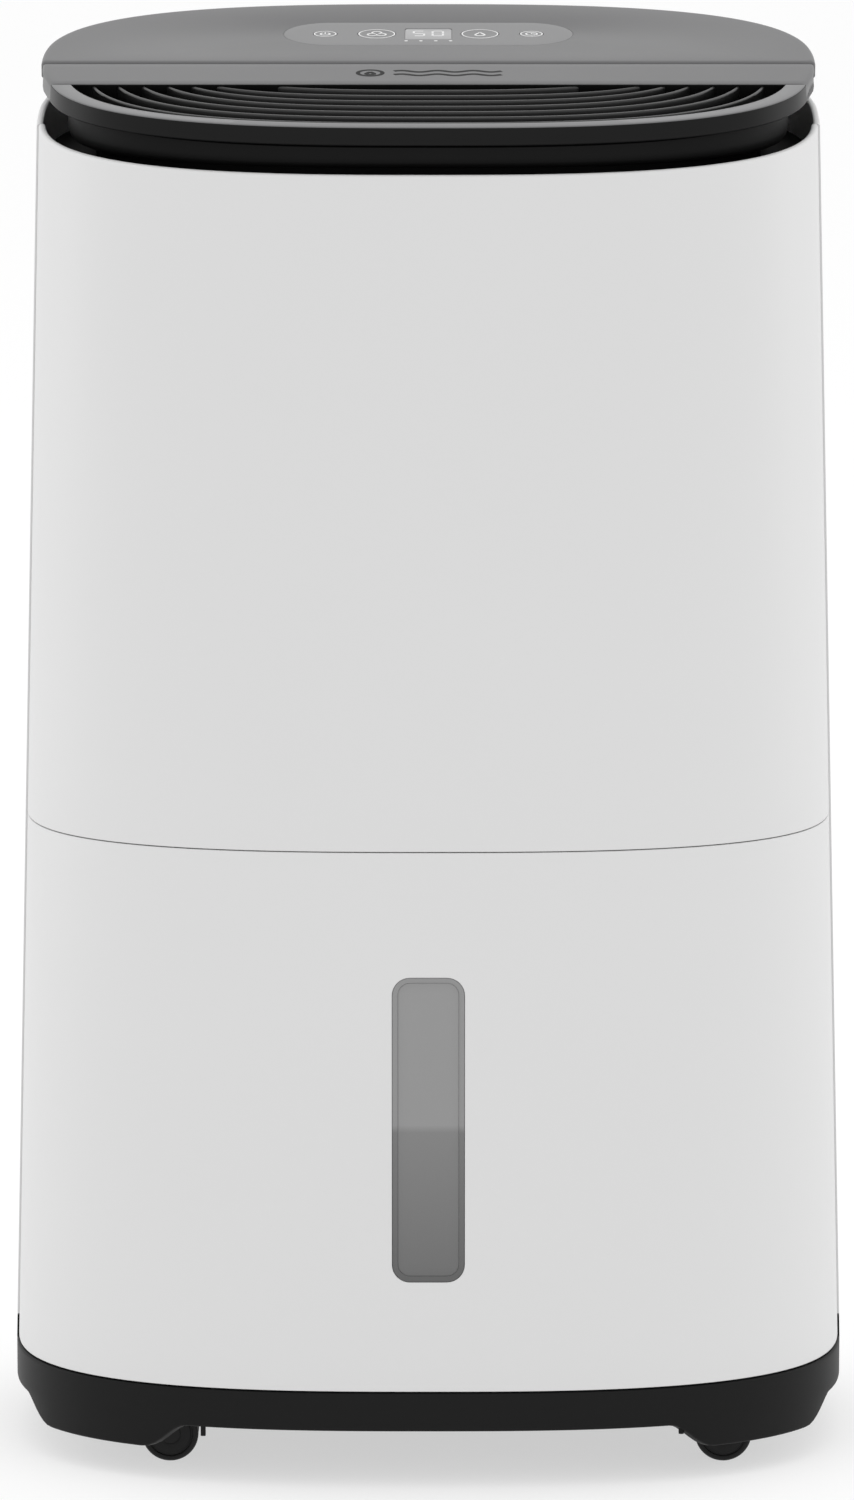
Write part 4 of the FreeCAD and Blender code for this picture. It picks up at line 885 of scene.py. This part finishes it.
DISPLAY_HALF, DISPLAY_TALL = 10.4, 9.8
cutters = []
for name, x in KEYS.items():
    reach = key_radius[name] + 0.25
    cutters.append(mesh_object("key_cut", [skin(lid_turned([(reach, -6), (reach, 4)], x))]))
display_slot = rounded_rectangle(DISPLAY_HALF + 0.1, DISPLAY_TALL + 0.2, 1.5)
cutters.append(mesh_object("display_cut", [lid_block(display_slot, -6, 4)]))
carve(panel_plate, cutters)
settle(panel_plate, "cabinet", PANEL_ABS, "grey_lid", "control_panel")
for name, x in KEYS.items():
    radius = key_radius[name]
    cap = [(radius - 0.6, -3.3), (radius, -3.0), (radius, -0.6), (radius - 0.15, -0.2), (radius - 0.6, -0.02),
           (radius - 1.4, -0.02), (radius * 0.5, -0.12), (0.6, -0.16)]
    make(f"{name}_cap", [skin(lid_turned(cap, x))], name, PANEL_ABS, "grey_lid", name)
    ring = [(radius - 0.75, -0.1), (radius - 0.75, 0.06), (radius - 0.15, 0.06), (radius - 0.15, -0.1)]
    make(f"{name}_ring", [skin(lid_turned(ring, x), joined=True)], name, PRINT_PALE, "grey_lid")

print("key radii, mm:", {name: round(float(radius), 1) for name, radius in key_radius.items()})

# %% [markdown]
# ### Symbols and figures
# Every line on the keys is a flat stroke of even width, laid on the sloping lid. The figures are bars
# of a seven-segment display.

# %% Printed symbols, display glass and lit figures


def stroke(points, width, rise=(-0.3, 0.05)):
    """A flat line of even width along (u, v) points, with square ends, as a thin closed plate."""
    points = np.asarray(points, float)
    run = np.gradient(points, axis=0)
    run /= np.linalg.norm(run, axis=1, keepdims=True)
    aside = np.column_stack([-run[:, 1], run[:, 0]]) * width / 2
    left, right = points + aside, points - aside
    rings = []
    for k in range(len(points)):
        corners = [(left[k], rise[0]), (right[k], rise[0]), (right[k], rise[1]), (left[k], rise[1])]
        rings.append([on_lid(p[0], p[1] * math.cos(LID_ANGLE) + PANEL_Y, level) for p, level in corners])
    return skin(np.array(rings))


def arc(centre, radius, start, stop, count=20):
    """Points round part of a circle, from start to stop in degrees."""
    turn = np.radians(np.linspace(start, stop, count))
    return np.column_stack([centre[0] + radius * np.cos(turn), centre[1] + radius * np.sin(turn)])


def drop_outline(centre, size_mm, count=36):
    """A water drop: x = sin(t) sin(t/2)^2 across and -cos(t) along, scaled."""
    turn = np.linspace(0.15, 2 * math.pi - 0.15, count)
    u = np.sin(turn) * np.sin(turn / 2) ** 2 * 0.62
    return np.column_stack([centre[0] + size_mm * u, centre[1] + size_mm * np.cos(turn) * 0.62])


petals = []
for turn_by in (0, 120, 240):
    petal = arc((0, 2.3), 2.1, -70, 200)
    spin = math.radians(turn_by)
    turned = petal @ np.array([[math.cos(spin), math.sin(spin)], [-math.sin(spin), math.cos(spin)]])
    petals.append(stroke(turned + np.array([-23, 0]), 0.75))
symbols = {
    "key_power": [stroke(arc((-46, -0.2), 2.1, 120, 420), 0.75),
                  stroke([(-46, 0.2), (-46, 1.2), (-46, 2.4)], 0.75)],
    "key_fan": petals,
    "key_humidity": [stroke(drop_outline((23, -0.2), 5.2), 0.8)],
    "key_timer": [stroke(arc((46, 0), 2.5, 0, 360, 30), 0.7), stroke([(46, 1.5), (46, 0), (46.0, -0.1)], 0.6),
                  stroke([(46, 0), (46.7, 0), (47.4, 0)], 0.6)],
}
for name, skins in symbols.items():
    make(f"{name}_symbol", skins, name, PRINT_PALE, "grey_lid")
glass = lid_plate(lambda grow: rounded_rectangle(DISPLAY_HALF + grow, DISPLAY_TALL + grow, 1.4),
                  [(0, -4.2), (0, -0.25), (-0.4, -0.05)])
make("display_glass", [skin(glass)], "cabinet", MILKY, "clear_tank", "display_module")
SEGMENTS = {"5": "afgcd", "0": "abcdef"}
BARS = {"a": ((-1.9, 4.4), (1.9, 4.4)), "b": ((2.3, 4.0), (2.3, 0.4)), "c": ((2.3, -0.4), (2.3, -4.0)),
        "d": ((-1.9, -4.4), (1.9, -4.4)), "e": ((-2.3, -0.4), (-2.3, -4.0)), "f": ((-2.3, 4.0), (-2.3, 0.4)),
        "g": ((-1.9, 0.0), (1.9, 0.0))}
figures = []
for figure, shift in (("5", -4.2), ("0", 4.2)):
    for bar in SEGMENTS[figure]:
        ends = np.array(BARS[bar]) + np.array([shift, 0.8])
        figures.append(stroke(np.array([ends[0], ends.mean(axis=0), ends[1]]), 0.95, (-0.2, 0.03)))
make("lit_figures", figures, "cabinet", LIT, "clear_tank")
dots = [skin(lid_turned([(0.8, -0.3), (0.8, 0.06)], x, 16) - np.array([0, 13.0, 13.0 * math.tan(LID_ANGLE)]))
        for x in (-9.9, -3.3, 3.3, 9.9)]
make("speed_dots", dots, "cabinet", PRINT_PALE, "grey_lid")
print(len(figures), "lit bars,", len(symbols), "printed symbols")

# %% [markdown]
# ## The strip and the ribbed outlet
# The strip lies across the lid and turns about a rod in its rounded back edge, lifting the outlet.
# It is one section, flat top, round nose, flat foot, carried across from side to side. The outlet's
# rim and ribs are the same idea carried round the front half of the outline.

# %% Strip with a round hinge nose
STRIP_FRONT = -34.0
STRIP_HALF, STRIP_TUCK = 169.6, 5.2
nose = np.linspace(math.pi / 2, -math.pi / 2, 15)
half_thick = LID_THICK / 2
strip_section = np.array(
    [(STRIP_FRONT + 0.9, 0.0), (STRIP_FRONT + 6, 0.0), (-14.0, 0.0), (-5.0, 0.0)]
    + [(HINGE_Y + half_thick * math.cos(a), half_thick * (math.sin(a) - 1)) for a in nose]
    + [(-5.0, -LID_THICK), (-14.0, -LID_THICK), (STRIP_FRONT + 6, -LID_THICK),
       (STRIP_FRONT + 0.3, -LID_THICK), (STRIP_FRONT, -LID_THICK + 0.4), (STRIP_FRONT, -1.0),
       (STRIP_FRONT + 0.26, -0.3)])
strip_rings = []
chamfer = [(0.0, 1.7), (0.25, 1.0), (0.9, 0.35), (2.0, 0.0)]
stations = [(-1, *step) for step in chamfer] + [(along, 0.0, 0.0) for along in np.linspace(-0.97, 0.97, 33)]
stations += [(1, *step) for step in chamfer[::-1]]
for along, short, drop in stations:
    half = STRIP_HALF - STRIP_TUCK * np.clip(strip_section[:, 0] / STRIP_FRONT, 0, 1) ** 2
    rise = np.minimum(strip_section[:, 1], -drop)
    strip_rings.append(on_lid(along * (half - short), strip_section[:, 0], rise))
make("outlet_strip", [skin(np.array(strip_rings))], "louvre", CHARCOAL_ABS, "grey_lid", "louvre_cap")

print("strip", 2 * STRIP_HALF, "mm long,", len(strip_rings), "sections")

# %% [markdown]
# ### The mark
# A drop in a ring and two wavy lines stand for water and air. They are printed on the strip, so they
# turn with it.

# %% A generic mark on the strip: a drop in a ring and two wavy air lines
MARK_Y = -15.0


def mark_stroke(points, width):
    """A printed stroke on the strip; v runs up the slope from the mark's line."""
    shifted = np.asarray(points, float) + np.array([0, (MARK_Y - PANEL_Y) / math.cos(LID_ANGLE)])
    return stroke(shifted, width, (-0.2, 0.05))


wave_u = np.linspace(-15, 32, 60)
marks = [mark_stroke(np.column_stack([wave_u, lift + 1.3 * np.sin(wave_u * 0.4)]), 2.4)
         for lift in (-3.1, 3.3)]
marks.append(mark_stroke(arc((-25.5, 0.2), 5.4, 0, 360, 48), 1.9))
marks.append(mark_stroke(drop_outline((-25.5, -0.2), 4.2), 2.0))
make("strip_mark", marks, "louvre", PRINT_DARK, "grey_lid")

print(len(marks), "printed strokes on the strip")

# %% [markdown]
# ### The outlet's rim and ribs
# One function carries any section round the front half of the outline. The rim and its facing use it
# once each, and every rib uses it with its own insets. The ribs are a piece of their own, because
# their plastic is shinier.

# %% Outlet rim and ribs
RIM_HALF, RIM_DEPTH = 167.0, 110.0


def half_ring(inset_x, inset_y, share, end_y):
    """Front half of the outlet's outline drawn in by the insets; both ends lie on y = end_y."""
    a, b = RIM_HALF - inset_x, RIM_DEPTH - inset_y
    low, high = np.zeros(np.shape(a)), np.full(np.shape(a), math.pi / 2)
    for _ in range(40):
        middle = (low + high) / 2
        past = -squircle(middle, a, b)[1] < end_y
        low, high = np.where(past, low, middle), np.where(past, middle, high)
    theta_end = np.where(b > -end_y, low, math.pi / 2)
    return squircle(math.pi + theta_end + share * (math.pi - 2 * theta_end), a, b)


def outlet_bar(section, inset_x, inset_y, end_y, count=121, side_spread=1.0):
    """Carry an (across, rise) section round the front; across widens the insets, more so at the sides."""
    section = np.asarray(section, float)
    share_along = np.linspace(0, 1, count)[:, None]
    across = section[None, :, 0]
    x, y = half_ring(inset_x + side_spread * across, inset_y + across, share_along, end_y)
    return on_lid(x, y, section[None, :, 1] + 0 * share_along)


RIM_WIDE = 7.0
rim_section = [(-0.25, -LID_THICK + 0.5), (0.1, -LID_THICK), (RIM_WIDE - 0.4, -LID_THICK),
               (RIM_WIDE, -LID_THICK + 0.5), (RIM_WIDE, -0.7), (RIM_WIDE - 0.15, -0.5), (0.3, -0.5),
               (0.05, -0.7), (-0.1, -4.0)]
outlet = [skin(outlet_bar(rim_section, 0.0, 0.0, STRIP_FRONT - 0.3, 181, 1.25))]
# A black lip closes the strip's front edge, behind the ribs.
lip = rounded_rectangle(162.5, 0.2, 0.15, 3)
outlet.append(lid_block(lip, -LID_THICK + 0.2, -0.45, 0.0, STRIP_FRONT - 0.15))
# The rim's top is a satin charcoal facing, lighter than the black rim as a painted highlight, so it reads as
# one surface with the lid.
rim_highlight_section = [(0.25, -0.52), (RIM_WIDE - 0.3, -0.52), (RIM_WIDE - 0.3, -0.15), (RIM_WIDE - 0.5, 0.0),
                  (0.7, 0.0), (0.4, -0.1), (0.25, -0.3)]
make("outlet_rim_painted_highlight", [skin(outlet_bar(rim_highlight_section, 0.0, 0.0, STRIP_FRONT - 1.8, 181, 1.25))], "louvre",
     RIM_HIGHLIGHT_ABS, "grey_lid")
RIB_TOP, RIB_FOOT = -1.2, -10.2
rib_half = 0.85
rib_side = [(rib_half - 0.2, RIB_FOOT), (rib_half, RIB_TOP - 0.8), (rib_half - 0.2, RIB_TOP - 0.25),
            (0.3, RIB_TOP)]
rib_mirror = [(-across, rise) for across, rise in rib_side[:0:-1]]
rib_section = [(-rib_half + 0.2, RIB_FOOT)] + rib_side + rib_mirror
# Each rib is named by where it crosses the middle line and where it meets the strip.
ribs = []
RIB_LINES = {97.4: 145.8, 87.8: 134.9, 78.2: 124.3, 68.8: 113.3, 59.4: 102.4, 50.0: 91.2, 40.6: 64.0}
for depth, end_x in RIB_LINES.items():
    half_width = end_x / (1 - (-STRIP_FRONT / depth) ** SQUARENESS) ** (1 / SQUARENESS)
    ribs.append(skin(outlet_bar(rib_section, RIM_HALF - half_width, RIM_DEPTH - depth, STRIP_FRONT - 0.3)))
outlet.append(lid_block(rounded_rectangle(150, 4, 1.0, 4), -11.2, -LID_THICK - 0.1, 0.0, STRIP_FRONT + 3.6))
for spoke_x in (-90.0, 0.0, 90.0):
    front_y = -float(squircle(np.arctan2(96.0, abs(spoke_x)), 160, 104)[1])
    spoke = rounded_rectangle(1.0, (STRIP_FRONT - front_y) / 2 + 1, 0.5, 4)
    outlet.append(lid_block(spoke, RIB_FOOT - 0.9, RIB_FOOT + 3.0, spoke_x, (STRIP_FRONT + front_y) / 2))
make("outlet_frame", outlet, "louvre", OUTLET_ABS, "grey_lid", "louvre_frame")
make("outlet_ribs", ribs, "louvre", RIB_ABS, "grey_lid")
print(len(RIB_LINES), "ribs between rim and strip")

# %% [markdown]
# ## The back: intake grille, drain plug and mains socket
# The grille follows the bow of the back. Its border is a rounded rectangle and each slat is an
# aerofoil-like section laid across, tipped so that one can't look straight in.

# %% Intake grille
GRILLE_RADIUS = 6.0
SLATS, SLAT_TIP = 12, math.radians(28)
TAB_HALF, TAB_TALL = 18, 5.2


def on_back(u, v, depth):
    """A point on the back wall, with v counted from the grille's middle."""
    return back_face(u, v + grille_mid, depth)


def grille_outline(grow):
    """The grille's border, grown or shrunk."""
    return rounded_rectangle(grille_half + grow, grille_tall + grow, GRILLE_RADIUS + grow, 12)


def tab_outline(grow):
    """The pull tab near the grille's top, grown or shrunk."""
    outline = rounded_rectangle(TAB_HALF + grow, TAB_TALL + grow, max(4.5 + grow, 0.4), 8)
    return outline + (0, grille_tall - 9.5)


border_levels = [(0.0, 8.0), (0.0, 0.9), (-0.2, 0.45), (-0.8, 0.2), (-7.0, 0.2), (-7.8, 0.5), (-8.0, 1.2),
                 (-8.0, 8.0)]
grille = [skin(layered(grille_outline, border_levels, on_back), joined=True)]
slat_x = np.linspace(-grille_half + 6.5, grille_half - 6.5, 41)
slat_turn = np.linspace(0, 2 * math.pi, 16, endpoint=False)
along, thick = 5.2 * np.cos(slat_turn), 1.1 * np.sin(slat_turn)
rise = along * math.sin(SLAT_TIP) + thick * math.cos(SLAT_TIP)
depth = 4.6 + along * math.cos(SLAT_TIP) - thick * math.sin(SLAT_TIP)
for z in np.linspace(-grille_tall + 15, grille_tall - 15, SLATS):
    rings = [on_back(np.full(16, x), z + rise, depth) for x in slat_x]
    grille.append(skin(np.array(rings)))
for x in (-46.0, 0.0, 46.0):
    bar = rounded_rectangle(1.4, grille_tall - 6, 1.2, 4)
    rings = [on_back(bar[:, 0] + x, bar[:, 1], np.full(len(bar), depth)) for depth in (7.6, 1.6)]
    grille.append(skin(np.array(rings)))
tab_levels = [(0, 0.8), (0, -0.2), (-0.8, -0.6), (-3.4, -0.6), (-3.9, 0.1), (-4.2, 0.1)]
grille.append(skin(layered(tab_outline, tab_levels, on_back)))
make("intake_grille", grille, "filter", BASE_PP, "black_plastic", "filter_frame")

print("intake grille with", SLATS, "slats")

# %% [markdown]
# ### Drain plug and socket pins
# The plug is a turned cap with a moulded bar to grip. Three pins stand in the mains socket.

# %% Drain plug and socket pins
plug_y = float(back_face(np.array(0.0), np.array(plug_z), 0.0)[1])
plug = [(4.8, plug_low[1]), (4.8, plug_y - 8), (10.2, plug_y - 7.6), (10.9, plug_y - 6.8),
        (10.9, plug_y - 1.6), (10.4, plug_y - 0.9), (9.4, plug_y - 0.6), (8.2, plug_y - 0.6),
        (7.6, plug_y - 2.4), (2.4, plug_y - 2.6)]
grip = prism(rounded_rectangle(7.4, 1.5, 1.4, 6) + (0, plug_z), (plug_y - 3.5, plug_y - 1.0), 1)
make("plug_cap", [skin(revolved(plug, (0, 0, plug_z), 1, 64)), grip], "drain_plug", WHITE_ABS, "white_shell",
     "drain_plug")
pins = []
for pin_x, pin_z in ((-7.0, -1.5), (7.0, -1.5), (0.0, 2.8)):
    pin = rounded_rectangle(1.0, 2.2, 0.6, 4) + (socket_mid[0] + pin_x, socket_mid[2] + pin_z)
    pins.append(prism(pin, (103.5, 113.0), 1))
make("socket_pins", pins, "cabinet", STEEL, "steel")
print("plug cap and", len(pins), "socket pins")

# %% [markdown]
# ## Parts that keep their engineering shape
# These sit inside or are plain turned parts. They only need the right finish.

# %% Finishes for the inner parts
FINISHES = {
    TUB_PP: ["tank_tub"],
    INNER_ABS: ["tank_lid", "tank_handle", "float_bracket", "tank_bay_wall", "drip_tray", "tank_switch",
                "humidity_sensor"],
    FAN_ABS: ["fan_scroll", "fan_impeller", "power_inlet"],
    FOAM: ["tank_float"],
    STEEL: ["float_magnet", "float_pin", "fan_shaft", "louvre_axle", "case_screws"]
           + [f"castor_axle_{place}" for place in CASTORS],
    ENAMEL: ["compressor", "suction_accumulator"],
    MOUNT_RUBBER: ["compressor_mounts"],
    FINS: ["evaporator_fins", "condenser_fins"],
    COPPER: ["evaporator_tubes", "condenser_tubes", "refrigerant_pipes"],
    PAINTED_CAN: ["fan_motor", "run_capacitor"],
    BOARD: ["main_board", "display_board"],
    NYLON_MESH: ["prefilter_mesh"],
    CARBON: ["carbon_filter"],
}
for material, nodes in FINISHES.items():
    for name in nodes:
        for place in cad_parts[name].material_slots:
            place.material = material
print(sum(len(nodes) for nodes in FINISHES.values()), "engineering parts given a finish")

# %% [markdown]
# ## Floor, light and camera
# A plain white floor fills the view, because the camera looks slightly down. It glows a little, as a
# lit table does. Two weak soft boxes at the sides and a broad one above give an even, catalogue look.

# %% Floor, lights and world
floor_mesh = bpy.data.meshes.new("floor")
floor_mesh.from_pydata([(-20, -12, 0), (20, -12, 0), (20, 30, 0), (-20, 30, 0)], [], [(0, 1, 2, 3)])
floor = bpy.data.objects.new("floor", floor_mesh)
bpy.context.scene.collection.objects.link(floor)
floor.data.materials.append(glowing("lit_white_table", "#ABABAB", 0.57,
                                    [("Roughness", 0.9), ("Specular IOR Level", 0.1)]))


def soft_box(name, place, aim, size, watts):
    """A rectangular area light at place, turned to face aim."""
    light = bpy.data.lights.new(name, "AREA")
    light.shape = "RECTANGLE"
    light.size, light.size_y = size
    light.energy = watts
    lamp = bpy.data.objects.new(name, light)
    lamp.location = place
    direction = np.array(aim, float) - np.array(place, float)
    level = math.hypot(direction[0], direction[1])
    lamp.rotation_euler = (math.atan2(level, -direction[2]), 0, math.atan2(-direction[0], direction[1]))
    bpy.context.scene.collection.objects.link(lamp)


soft_box("left_box", (-2.4, 0.6, 1.1), (0, 0, 0.35), (1.4, 2.2), 6)
soft_box("right_box", (2.4, 0.6, 1.1), (0, 0, 0.35), (1.4, 2.2), 6)
soft_box("top_box", (0, 0.4, 3.4), (0, 0, 0), (4.0, 4.0), 22)
world = bpy.data.worlds.new("studio")
bpy.context.scene.world = world
world.use_nodes = True
world.node_tree.nodes["Background"].inputs["Color"].default_value = (1, 1, 1, 1)
world.node_tree.nodes["Background"].inputs["Strength"].default_value = 0.96
# The plain transform keeps whites white; the filmic one would grey them.
bpy.context.scene.view_settings.view_transform = "Standard"

print("three soft boxes over a lit floor")

# %% [markdown]
# ### Camera
# A long lens from far off, looking down by about ten degrees, keeps the sides nearly straight.

# %% Camera
LENS_MM = 204.5
CAMERA_PLACE = (-0.0006, -3.742, 0.9674)
LOOK_DOWN = 10.02
camera_data = bpy.data.cameras.new("camera")
camera_data.sensor_width = 36
camera_data.lens = LENS_MM
camera = bpy.data.objects.new("camera", camera_data)
camera.location = CAMERA_PLACE
camera.rotation_euler = (math.radians(90 - LOOK_DOWN), 0, 0)
bpy.context.scene.collection.objects.link(camera)
bpy.context.scene.camera = camera
print("camera with a", LENS_MM, "mm lens, looking down by", LOOK_DOWN, "degrees")

# %% [markdown]
# ## Finish
# The finished surfaces should fill the same box as the engineering model; here the new pieces and their faces
# are counted.

# %% Count the new pieces and finish
print(len(pieces), "new pieces,", sum(len(piece.data.polygons) for piece in pieces.values()), "faces")
